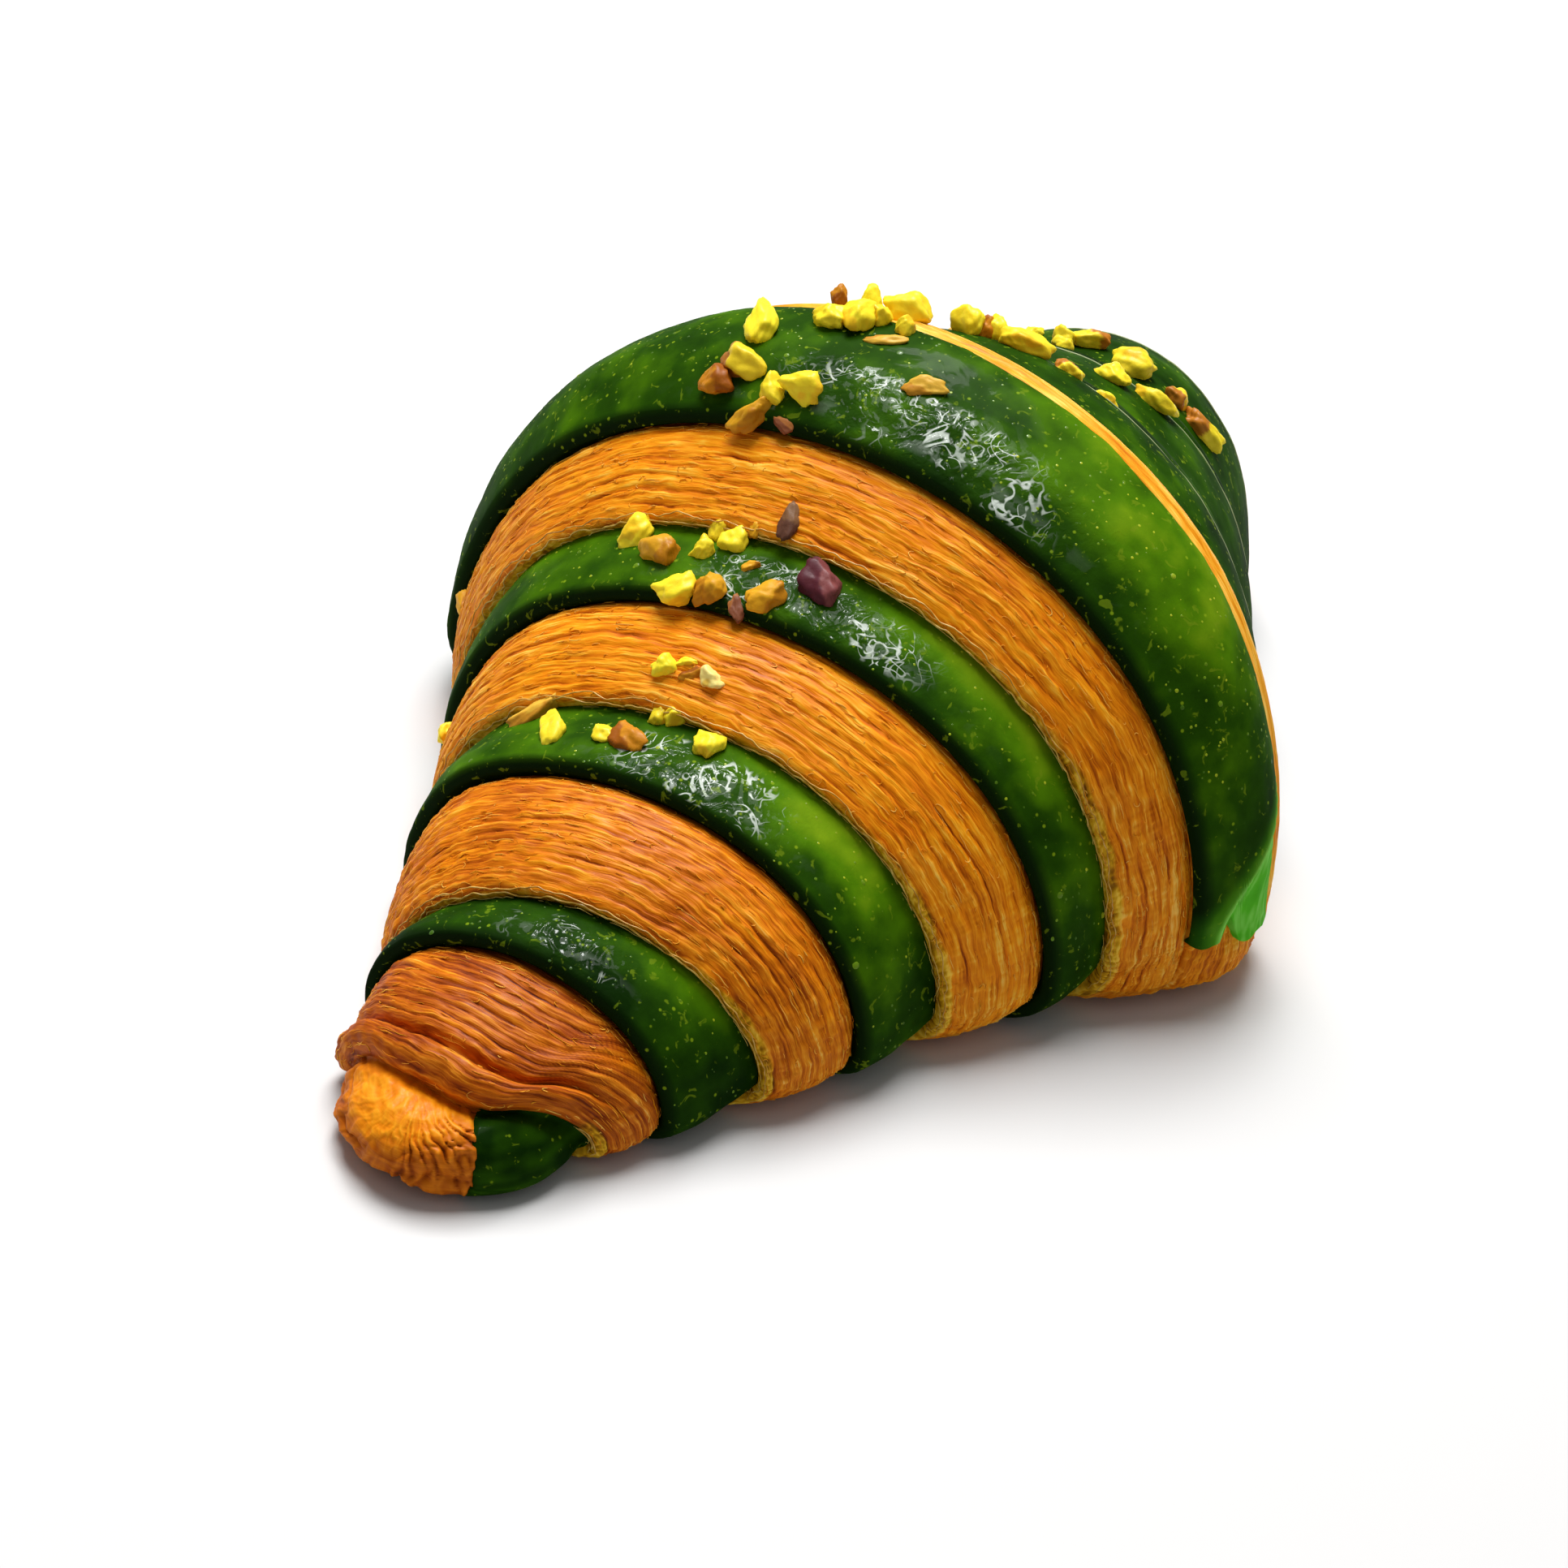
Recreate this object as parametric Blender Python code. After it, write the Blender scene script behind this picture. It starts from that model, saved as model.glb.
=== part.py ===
"""A two-colour croissant: one rolled and baked body with chopped nuts baked onto it.

Lengths are in millimetres here and become metres when a mesh is made. X runs along the
croissant, with the small curled tip at -X. Z is up, and the body rests flat on Z = 0.
Round the body, an angle of 0 degrees is the front (-Y), 90 the crest and 180 the back.
"""
import math
import random

import bmesh
import bpy
import numpy as np

MM = 0.001
SLOPE_STEP, SLOPE_TURN = 0.05, 0.01     # small steps along X and round the body, for slopes

# The smooth hull under the bands. X is measured from the crest of the middle band.
HALF_WIDTHS = ((-73.5, 7.5), (-59.0, 12.8), (-44.5, 19.9), (-28.5, 26.7), (-13.0, 35.7), (0.0, 43.0),
               (10.5, 38.5), (22.5, 32.0), (39.5, 24.5), (57.5, 18.7), (71.0, 13.7), (76.5, 12.0))
HEIGHT_SHARES = ((-73.5, 0.85), (0.0, 1.075), (7.0, 1.16), (25.0, 1.22), (76.5, 1.40))   # over half width
NEAR_END, NEAR_ROUND, NEAR_TIP_HEIGHT = -73.5, -64.0, 3.4    # end, start of its rounding, height
FAR_END, FAR_ROUND, FAR_TIP_HEIGHT = 76.5, 62.0, 8.0
BELLY = 0.17            # height of the widest line, as a share of the height
SINK = 0.165            # how far the flattened base would reach below the tray, over half width
ROUNDNESS = 0.98        # power of the section's sine and cosine
LEAN = 1.6              # sideways drift of the middle line over half the length
CURL_NEAR, CURL_FAR = 0.1, 7.8   # sideways bend at each end
FLOOR_SOFTNESS = 2.0    # radius of the turn from side to base
FLOOR_TRIM = 0.25       # thickness pressed flat against the tray

# Edges of the bands from the near tip on: X at the crest, lean over half a turn. A rim is the
# rolled tipward edge of a green band, and an end is where the next layer covers it.
EDGES = (("rim 1", -55.0, -1.6), ("end 1", -49.2, -8.0), ("rim 2", -38.1, -2.8), ("end 2", -30.3, -4.2),
         ("rim 3", -21.4, -4.2), ("end 3", -14.8, -2.4), ("rim 4", -7.5, -0.6), ("far side 4", 7.0, 5.3),
         ("far end 3", 17.0, 3.6), ("far rim 3", 25.3, 3.6), ("far end 2", 30.8, 3.4),
         ("far rim 2", 43.6, 3.2), ("far end 1", 47.8, 3.0), ("far rim 1", 63.5, 2.0))
LIP_EDGE = ((-90, -60.5), (0, -60.0), (30, -62.2), (45, -64.3), (58, -66.6), (80, -67.6), (110, -67.4),
            (140, -66.0), (180, -64.5), (230, -62.0), (270, -60.5))      # degrees, X
EDGE_TURN = 0.995       # below 1: how softly an edge turns round the base
LIP_WIDTH, LIP_HEIGHT = 3.2, 1.0
LIP_CREASE, LIP_CREASE_WIDTH = 0.9, 0.5
LIP_FADES = ((-90, 0.0), (22, 0.0), (52, 1.0), (190, 1.0), (235, 0.0), (270, 0.0))   # degrees, share

# Relief over the hull, as (share of the band's width, height, shift along X).
DOUGH = ((0.0, -1.2, 0.0), (0.03, -0.3, -0.35), (0.12, 0.25, -0.1), (0.5, 0.6, 0.0), (0.85, 0.1, 0.0),
         (0.96, -0.5, 0.0), (1.0, -0.9, 0.2))
SKIN = ((0.0, -0.9, 0.2), (0.04, 0.15, -0.45), (0.13, 0.95, -0.3), (0.3, 0.8, 0.0), (0.7, -0.2, 0.0),
        (1.0, -1.2, 0.0))
MIDDLE_SKIN = ((0.0, -0.9, 0.2), (0.02, 0.15, -0.45), (0.06, 1.0, -0.3), (0.15, 0.85, 0.0),
               (0.5, 0.35, 0.0), (0.9, 0.2, 0.0), (1.0, 0.0, 0.0))
FAR_STEP = ((0.0, 0.0, 0.0), (0.06, 0.35, 0.0), (0.2, 0.3, 0.0), (0.28, 0.0, 0.0), (0.42, -1.2, 0.0),
            (0.75, -1.3, 0.0), (0.97, -1.0, 0.0), (1.0, -1.2, 0.0))
KNOB = ((0.0, 0.0, 0.0), (0.55, 0.45, 0.0), (0.85, -0.5, 0.0), (0.97, -1.6, 0.2), (1.0, -1.2, 0.0))
FAR_TIP = ((0.0, -0.9, -0.2), (0.06, 0.0, 0.1), (0.3, 0.5, 0.0), (1.0, 0.0, 0.0))

RIDGES, RIDGE_HEIGHT = 4, 0.22          # laminated layers that show in one dough band
RIDGE_START, RIDGE_STOP = 0.12, 0.08    # shares of the band over which they rise and fade
RIDGE_WANDER = 0.9                      # how far the layers drift in phase round the body
PLEATS, PLEAT_HEIGHT = 13, 0.35         # folds that gather towards a tip
LUMPS = ((0.14, 0.16, 2, 0.7), (0.09, 0.31, -3, 2.1), (0.07, 0.07, 5, 4.0))  # height, per X, round, phase
SIDE_TUCK, SIDE_TUCK_FROM = 0.5, 0.7    # how much less the relief stands out on the sides
TIP_FADE = 0.5                          # share of closing() below which the relief dies out
TIP_CROWDING = 1.6                      # power that gathers the columns of a tip at its pole
TAIL_ANGLE, TAIL_STEP = -6.0, 1.7       # where the middle band's skin ends, and its drop
TAIL_SOFT, TAIL_BACK = 3.0, (205.0, 215.0)   # degrees the drop takes in front, and at the back
BULGE, BULGE_ANGLE, BULGE_X = 2.8, -19.0, -2.0    # dough pressed out under the tail
BULGE_SPREAD, BULGE_LENGTH = 11.0, 9.0  # degrees, along X
GROOVE_UNDER, GROOVE_WIDTH = 0.45, 0.8  # gap between two bands under the base

# Mesh columns in each kind of band, and rows round the body.
DOUGH_COLUMNS = (0.0, 0.03, 0.12, 0.25, 0.375, 0.5, 0.625, 0.75, 0.875, 0.96)
FAR_DOUGH_COLUMNS = (0.0, 0.08, 0.2, 0.45, 0.75, 0.95)
SKIN_COLUMNS = (0.0, 0.05, 0.14, 0.36, 0.7)
FAR_SKIN_COLUMNS = (0.0, 0.3, 0.64, 0.86, 0.95)
MIDDLE_COLUMNS = (0.0, 0.025, 0.06, 0.2, 0.5, 0.85, 0.97)
TIP_COLUMNS = (0.1, 0.22, 0.36, 0.5, 0.64, 0.77, 0.88, 0.96)
FAR_TIP_COLUMNS = (0.0, 0.06, 0.2, 0.36, 0.52, 0.68, 0.82, 0.93)
TOP_ROWS, BASE_ROWS = 29, 9
TOP_FROM, TOP_TO = -9.0, 189.0          # degrees

# Chopped nuts: X, angle, length, width, thickness, turn of the long side from the body's length.
NUTS = (
    # On the middle band and its crest.
    (0.9, 108.9, 5.4, 2.5, 2.2, 30), (-3.5, 107.9, 4.5, 2.9, 2.2, 80), (-5.2, 110.3, 3.4, 2.9, 1.9, 121),
    (-5.4, 102.4, 3.1, 2.1, 1.7, 40), (-4.7, 99.0, 3.5, 2.7, 2.2, 92), (-6.9, 104.0, 4.4, 2.1, 1.6, 135),
    (-6.9, 99.3, 2.3, 1.3, 0.8, 60), (-1.2, 86.1, 3.6, 1.9, 1.3, 110), (3.2, 101.9, 2.9, 2.3, 2.0, 116),
    (5.5, 103.0, 1.8, 1.4, 2.6, 20), (4.2, 99.2, 3.4, 3.0, 2.6, 20), (7.0, 100.0, 2.7, 2.2, 3.0, 60),
    (5.4, 96.9, 2.1, 1.9, 1.9, 20), (4.9, 93.5, 1.9, 1.7, 1.8, 0), (2.7, 93.9, 3.5, 1.3, 0.9, 122),
    (8.3, 95.6, 4.5, 2.8, 3.0, 112),
    # On the far bands.
    (24.0, 99.0, 3.4, 1.9, 2.8, 75), (24.5, 95.6, 1.8, 1.5, 2.2, 60), (25.0, 94.6, 2.4, 1.9, 3.0, 80),
    (24.0, 88.8, 4.7, 2.8, 2.4, 97), (24.3, 79.5, 3.0, 1.9, 1.6, 88), (24.5, 72.3, 2.6, 1.8, 1.5, 90),
    (39.0, 77.8, 3.4, 2.2, 1.9, 60), (40.5, 67.4, 3.9, 2.3, 1.9, 90), (43.4, 71.6, 2.0, 1.7, 1.5, 90),
    (52.0, 101.5, 2.0, 1.8, 2.2, 90), (47.5, 96.8, 2.0, 1.4, 1.6, 90), (53.5, 94.5, 3.7, 2.1, 2.0, 100),
    (44.0, 87.5, 2.4, 1.3, 1.1, 90), (52.0, 79.5, 4.1, 3.0, 2.6, 90), (52.5, 64.5, 2.7, 2.2, 1.9, 80),
    (52.8, 53.2, 4.8, 2.5, 2.0, 90), (12.0, 118.0, 3.0, 2.4, 1.8, 40), (21.5, 112.0, 3.4, 2.6, 2.0, 10),
    (23.0, 128.0, 2.6, 2.2, 1.7, 80), (39.0, 105.0, 3.0, 2.2, 1.7, 30), (41.0, 121.0, 2.6, 2.4, 1.8, 60),
    (55.0, 114.0, 2.8, 2.0, 1.6, 20),
    # On the third band.
    (-16.6, 117.3, 3.1, 2.5, 1.9, 146), (-18.2, 110.0, 3.6, 3.2, 2.3, 70), (-15.3, 103.7, 2.9, 1.9, 1.5, 5),
    (-15.9, 100.3, 3.1, 2.2, 1.7, 5), (-17.4, 103.7, 2.2, 2.1, 1.6, 0), (-21.0, 104.1, 3.1, 2.8, 1.9, 134),
    (-20.3, 98.5, 2.8, 2.6, 1.9, 20), (-19.7, 90.2, 3.1, 2.4, 1.8, 117), (-20.8, 93.6, 2.5, 1.2, 0.8, 40),
    (-13.4, 93.0, 3.2, 1.7, 1.1, 15), (-17.0, 84.3, 4.1, 3.0, 1.9, 58), (-14.5, 97.5, 1.6, 0.9, 0.9, 10),
    (-17.6, 95.0, 1.6, 0.9, 0.9, 130), (-27.4, 99.7, 2.1, 1.8, 1.4, 80), (-26.4, 96.2, 1.9, 0.9, 0.9, 110),
    (-27.2, 94.6, 1.8, 1.2, 0.9, 130), (-27.1, 91.0, 2.2, 1.8, 1.3, 70),
    # On the second band.
    (-32.0, 127.0, 5.4, 1.9, 1.5, 122), (-34.6, 117.4, 3.5, 2.1, 1.6, 16), (-34.5, 104.6, 1.9, 1.7, 1.2, 60),
    (-34.4, 98.6, 3.1, 2.3, 1.6, 62), (-30.7, 97.6, 2.5, 1.7, 1.4, 20), (-30.4, 94.2, 2.5, 1.7, 1.8, 124),
    (-31.9, 84.9, 2.5, 2.4, 1.6, 40),
    # On the shoulder away from the front.
    (-26.5, 168.0, 2.6, 2.0, 1.5, 20), (-9.5, 172.0, 3.4, 1.5, 1.2, 10))
NUT_SINK = 0.5          # depth of its underside in the crust
NUT_CORNERS = 14
NUT_BOXINESS = 0.6      # 0 spreads the corners over an ellipsoid, 1 over a box
NUT_UNEVENNESS = 0.14   # how far inside that form a corner may lie
SEED = 41


def monotone(x, knots):
    """Smooth curve through (position, value) knots that never overshoots them."""
    at = np.array([knot[0] for knot in knots], float)
    value = np.array([knot[1] for knot in knots], float)
    gap = np.diff(at)
    slope = np.diff(value) / gap
    tangent = np.zeros(len(at))
    same_way = slope[:-1] * slope[1:] > 0
    weight_a = 2 * gap[1:] + gap[:-1]
    weight_b = gap[1:] + 2 * gap[:-1]
    safe_a = np.where(same_way, slope[:-1], 1.0)
    safe_b = np.where(same_way, slope[1:], 1.0)
    tangent[1:-1] = np.where(same_way, (weight_a + weight_b) / (weight_a / safe_a + weight_b / safe_b), 0.0)
    tangent[0], tangent[-1] = slope[0], slope[-1]
    x = np.clip(np.asarray(x, float), at[0], at[-1])
    i = np.clip(np.searchsorted(at, x, side="right") - 1, 0, len(at) - 2)
    t = (x - at[i]) / gap[i]
    start = value[i] * (1 + 2 * t) * (1 - t) ** 2 + tangent[i] * gap[i] * t * (1 - t) ** 2
    finish = value[i + 1] * t * t * (3 - 2 * t) + tangent[i + 1] * gap[i] * t * t * (t - 1)
    return start + finish


def smooth_step(x, low, high):
    """0 below low, 1 above high, with a soft turn between them."""
    t = np.clip((x - low) / (high - low), 0.0, 1.0)
    return t * t * (3 - 2 * t)


def wrap_degrees(angle):
    """The angle in degrees, between -90 and 270."""
    return (np.degrees(angle) + 90.0) % 360.0 - 90.0


def signed_power(value, power):
    return np.sign(value) * np.abs(value) ** power


def closing(x):
    """How far the section has shrunk towards a tip: 1 along the body, 0 at each end."""
    near = np.clip((NEAR_ROUND - x) / (NEAR_ROUND - NEAR_END), 0.0, 1.0)
    far = np.clip((x - FAR_ROUND) / (FAR_END - FAR_ROUND), 0.0, 1.0)
    return np.sqrt((1 - near ** 2) * (1 - far ** 2))


def hull(x, angle):
    """Points of the smooth body without bands, before its base is pressed flat."""
    x = np.clip(x, NEAR_END, FAR_END)
    width = monotone(x, HALF_WIDTHS)
    height = width * monotone(x, HEIGHT_SHARES)
    middle = BELLY * height
    rise = signed_power(np.sin(angle), ROUNDNESS)
    reach = np.where(rise > 0, height - middle, middle + SINK * width)
    tip = np.where(x < 0, NEAR_TIP_HEIGHT, FAR_TIP_HEIGHT)
    shrink = closing(x)
    along = np.where(x < 0, x / -NEAR_END, x / FAR_END)
    curl = np.where(x < 0, CURL_NEAR, CURL_FAR)
    y = LEAN * along + curl * along ** 2 - width * shrink * signed_power(np.cos(angle), ROUNDNESS)
    z = tip + (middle + rise * reach - tip) * shrink
    return np.stack(np.broadcast_arrays(x, y, z), -1)


def hull_normal(x, angle):
    """Outward direction of the hull."""
    inner = np.clip(x, NEAR_END + 2 * SLOPE_STEP, FAR_END - 2 * SLOPE_STEP)
    along = hull(inner + SLOPE_STEP, angle) - hull(inner - SLOPE_STEP, angle)
    around = hull(inner, angle + SLOPE_TURN) - hull(inner, angle - SLOPE_TURN)
    normal = np.cross(along, around)
    return normal / np.linalg.norm(normal, axis=-1, keepdims=True)


def lean(angle):
    """Share of an edge's lean at this angle: nearly straight over the top, turning below."""
    return np.arcsin(EDGE_TURN * np.sin(angle - math.pi / 2)) / math.pi


def edge_x(edge, angle):
    """X of one band edge; 0 is the near tip, 1 the lip, then EDGES, then the far tip."""
    if edge == 0:
        return np.full_like(angle, NEAR_END)
    if edge == 1:
        return monotone(wrap_degrees(angle), LIP_EDGE)
    if edge == len(EDGES) + 2:
        return np.full_like(angle, FAR_END)
    name, crest, slant = EDGES[edge - 2]
    return crest + slant * lean(angle)


def band_kind(band):
    """What fills the band between two edges: tip, dough or skin."""
    if band == 0 or band == len(EDGES) + 1:
        return "tip"
    return "dough" if band % 2 == 1 else "skin"


MIDDLE_BAND = 2 + [name for name, crest, slant in EDGES].index("rim 4")


def profile(knots, share, mirrored=False):
    """Height and shift along X of a relief at a share of its band's width."""
    at = 1.0 - share if mirrored else share
    height = monotone(at, [(knot[0], knot[1]) for knot in knots])
    shift = monotone(at, [(knot[0], knot[2]) for knot in knots])
    return height, -shift if mirrored else shift


def band_relief(band, share):
    """The plain relief of a band, without ridges, tail or lip."""
    if band == 0:
        return profile(KNOB, share)
    if band == len(EDGES) + 1:
        return profile(FAR_TIP, share)
    if band == MIDDLE_BAND:
        return profile(MIDDLE_SKIN, share)
    if band == MIDDLE_BAND + 1:
        return profile(FAR_STEP, share)
    knots = DOUGH if band_kind(band) == "dough" else SKIN
    return profile(knots, share, mirrored=band > MIDDLE_BAND)


def lip_relief(x, angle):
    """The thick fold that laps over the knob at the near tip, and the crease behind it."""
    beyond = x - edge_x(1, angle)
    fold = LIP_HEIGHT * np.sin(math.pi * np.clip(beyond / LIP_WIDTH, 0.0, 1.0))
    crease = LIP_CREASE * np.exp(-((beyond - LIP_WIDTH) / LIP_CREASE_WIDTH) ** 2)
    return (fold - crease) * np.interp(wrap_degrees(angle), *zip(*LIP_FADES))


def tail_relief(angle):
    """The end of the middle band's skin low on the front, and the dough that shows below it."""
    degrees = wrap_degrees(angle)
    under = 1 - smooth_step(degrees, TAIL_ANGLE - TAIL_SOFT, TAIL_ANGLE)
    behind = smooth_step(degrees, *TAIL_BACK)
    return -TAIL_STEP * np.maximum(under, behind)


def bulge_relief(x, angle):
    """Dough that swells out at the tray, on the front of the middle."""
    round_it = (wrap_degrees(angle) - BULGE_ANGLE) / BULGE_SPREAD
    along_it = (x - BULGE_X) / BULGE_LENGTH
    return BULGE * np.exp(-round_it ** 2 - along_it ** 2)


def ridges(band, share, angle):
    """Layers of the laminated dough, running round the body."""
    fade = np.clip(share / RIDGE_START, 0.0, 1.0) * np.clip((1 - share) / RIDGE_STOP, 0.0, 1.0)
    phase = 2 * math.pi * RIDGES * share + RIDGE_WANDER * np.sin(2 * angle + band)
    return RIDGE_HEIGHT * fade * np.cos(phase)


def pleats(share, angle):
    """Folds that gather towards a tip; share is 0 at the tip's pole."""
    return PLEAT_HEIGHT * np.sin(math.pi * np.clip(share, 0.0, 1.0)) * np.cos(PLEATS * angle)


def lumps(x, angle):
    """Slow unevenness, the same on every band it crosses."""
    return sum(height * np.sin(per_x * x + turns * angle + phase) for height, per_x, turns, phase in LUMPS)


def press_flat(points, edge_gap):
    """Turns the side softly into a flat base at Z = 0, with a shallow groove at each edge."""
    z = points[..., 2]
    z = 0.5 * (z + np.sqrt(z * z + FLOOR_SOFTNESS ** 2)) - FLOOR_TRIM
    floor = GROOVE_UNDER * np.exp(-(edge_gap / GROOVE_WIDTH) ** 2)
    points[..., 2] = np.maximum(z, floor)
    return points


def surface(band, share, angle):
    """Points of the finished body in one band, at shares of its width and angles."""
    share, angle = np.broadcast_arrays(np.asarray(share, float), np.asarray(angle, float))
    start, stop = edge_x(band, angle), edge_x(band + 1, angle)
    x = start + share * (stop - start)
    if band == 0:
        x = start + (stop - start) * share ** TIP_CROWDING
    if band == len(EDGES) + 1:
        x = stop - (stop - start) * (1 - share) ** TIP_CROWDING
    height, shift = band_relief(band, share)
    if band_kind(band) == "dough":
        height = height + ridges(band, share, angle)
    if band == 0:
        height = height + pleats(share, angle)
    if band == 1:
        height = height + lip_relief(x, angle)
    if band == MIDDLE_BAND:
        height = height + tail_relief(angle)
    if band == len(EDGES) + 1:
        height = height + pleats(1 - share, angle)
    height = height + bulge_relief(x, angle) + lumps(x, angle)
    height = height - SIDE_TUCK * smooth_step(np.abs(np.cos(angle)), SIDE_TUCK_FROM, 1.0)
    height = height * smooth_step(closing(x), 0.0, TIP_FADE)
    edge_gap = np.minimum(x - start, stop - x)
    points = hull(x + shift, angle) + hull_normal(x, angle) * height[..., None]
    return press_flat(points, edge_gap)


def columns():
    """Every (band, share) along the body, from the near tip's first ring to the far tip's last."""
    found = [(0, share) for share in TIP_COLUMNS]
    for band in range(1, len(EDGES) + 1):
        if band == MIDDLE_BAND:
            shares = MIDDLE_COLUMNS
        elif band_kind(band) == "dough":
            shares = DOUGH_COLUMNS if band < MIDDLE_BAND else FAR_DOUGH_COLUMNS
        else:
            shares = SKIN_COLUMNS if band < MIDDLE_BAND else FAR_SKIN_COLUMNS
        found += [(band, share) for share in shares]
    return found + [(len(EDGES) + 1, share) for share in FAR_TIP_COLUMNS]


def row_angles():
    """Angles of the mesh rows, closer together over the top than under the base."""
    top = np.linspace(TOP_FROM, TOP_TO, TOP_ROWS)
    base = np.linspace(TOP_TO, TOP_FROM + 360.0, BASE_ROWS + 2)[1:-1]
    return np.radians(np.concatenate([top, base]))


def make_object(name, verts, faces, material):
    """A mesh object from points in millimetres."""
    mesh = bpy.data.meshes.new(name)
    mesh.from_pydata([tuple(point * MM) for point in np.asarray(verts)], [], faces)
    made = bpy.data.objects.new(name, mesh)
    made.data.materials.append(material)
    bpy.context.scene.collection.objects.link(made)
    return made


def crust_material():
    material = bpy.data.materials.new("baked crust")
    material.use_nodes = True
    shader = material.node_tree.nodes["Principled BSDF"]
    shader.inputs["Base Color"].default_value = (0.62, 0.27, 0.05, 1.0)
    shader.inputs["Roughness"].default_value = 0.45
    shader.inputs["Metallic"].default_value = 0.0
    return material


def body_mesh():
    """Points and faces of the body: rings of quads closed by a fan at each tip."""
    angles = row_angles()
    rings = [surface(band, share, angles) for band, share in columns()]
    count = len(angles)
    near_pole = hull(np.array(NEAR_END), np.array(0.0))
    far_pole = hull(np.array(FAR_END), np.array(0.0))
    verts = np.concatenate(rings + [near_pole[None], far_pole[None]])
    near, far = len(verts) - 2, len(verts) - 1
    last = (len(rings) - 1) * count
    faces = []
    for row in range(count):
        after = (row + 1) % count
        faces.append((near, row, after))
        faces.append((far, last + after, last + row))
        for ring in range(len(rings) - 1):
            base = ring * count
            faces.append((base + row, base + count + row, base + count + after, base + after))
    return verts, faces


def place_frame(x, degrees):
    """Point, outward normal and lengthwise direction of the finished surface."""
    angle = np.array(math.radians(degrees))
    edges = [float(edge_x(edge, angle)) for edge in range(len(EDGES) + 3)]
    band = max(edge for edge in range(len(edges) - 1) if edges[edge] <= x)
    share = (x - edges[band]) / (edges[band + 1] - edges[band])
    point = surface(band, share, angle)
    normal = hull_normal(np.array(x), angle)
    along = hull(np.array(x + 0.5), angle) - hull(np.array(x - 0.5), angle)
    along = along / np.linalg.norm(along)
    return point, normal, along


def nut_object(index, nut, material):
    """One chopped nut: the hull of a few random corners, half sunk in the crust."""
    x, degrees, length, width, thickness, turn = nut
    draw = random.Random(SEED + index)
    point, normal, along = place_frame(x, degrees)
    across = np.cross(normal, along)
    turn = math.radians(turn)
    long_side = math.cos(turn) * along + math.sin(turn) * across
    short_side = np.cross(normal, long_side)
    centre = point + normal * (thickness / 2 - NUT_SINK)
    made = bmesh.new()
    for corner in range(NUT_CORNERS):
        direction = np.array([draw.gauss(0, 1) for axis in range(3)])
        box, ball = np.max(np.abs(direction)), np.linalg.norm(direction)
        direction /= box ** NUT_BOXINESS * ball ** (1 - NUT_BOXINESS)
        reach = draw.uniform(1 - NUT_UNEVENNESS, 1.0)
        offset = direction * reach * np.array([length, width, thickness]) / 2
        place = centre + offset[0] * long_side + offset[1] * short_side + offset[2] * normal
        made.verts.new(place * MM)
    result = bmesh.ops.convex_hull(made, input=made.verts)
    spare = [item for item in result["geom_interior"] if isinstance(item, bmesh.types.BMVert)]
    bmesh.ops.delete(made, geom=spare, context="VERTS")
    bmesh.ops.recalc_face_normals(made, faces=made.faces)
    mesh = bpy.data.meshes.new("nut")
    made.to_mesh(mesh)
    made.free()
    mesh.materials.append(material)
    return bpy.data.objects.new("nut", mesh)


def fuse(body, pieces):
    """Joins every piece to the body with one Boolean union, then removes the pieces."""
    group = bpy.data.collections.new("nuts")
    bpy.context.scene.collection.children.link(group)
    for piece in pieces:
        group.objects.link(piece)
    union = body.modifiers.new("fuse nuts", "BOOLEAN")
    union.operation = "UNION"
    union.operand_type = "COLLECTION"
    union.collection = group
    union.solver = "EXACT"
    bpy.context.view_layer.objects.active = body
    bpy.ops.object.modifier_apply(modifier=union.name)
    for piece in pieces:
        bpy.data.objects.remove(piece)
    bpy.data.collections.remove(group)


def set_origin(body):
    """Moves the mesh so that the middle of its base box is the world's origin."""
    coords = np.array([vert.co[:] for vert in body.data.vertices])
    low, high = coords.min(axis=0), coords.max(axis=0)
    shift = np.array([(low[0] + high[0]) / 2, (low[1] + high[1]) / 2, low[2]])
    for vert, place in zip(body.data.vertices, coords - shift):
        vert.co = place
    print("CROISSANT moved by", shift / MM, "size", (high - low) / MM, "faces", len(body.data.polygons))


def main():
    for old in list(bpy.data.objects):
        bpy.data.objects.remove(old)
    material = crust_material()
    verts, faces = body_mesh()
    body = make_object("croissant", verts, faces, material)
    fuse(body, [nut_object(index, nut, material) for index, nut in enumerate(NUTS)])
    set_origin(body)


main()
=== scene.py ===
"""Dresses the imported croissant: laminated dough, glossy green skin, flakes, fibres and chopped nuts.

Lengths are in millimetres here and become metres when a mesh is made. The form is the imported
part's: the same hull, band edges and reliefs, with finer layers on top. X runs along the body
from the small curled tip, and the angle round it is 0 at the front (-Y), 90 at the crest.
"""
import math
import random

import bmesh
import bpy
import numpy as np
from mathutils import Matrix, Vector


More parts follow.
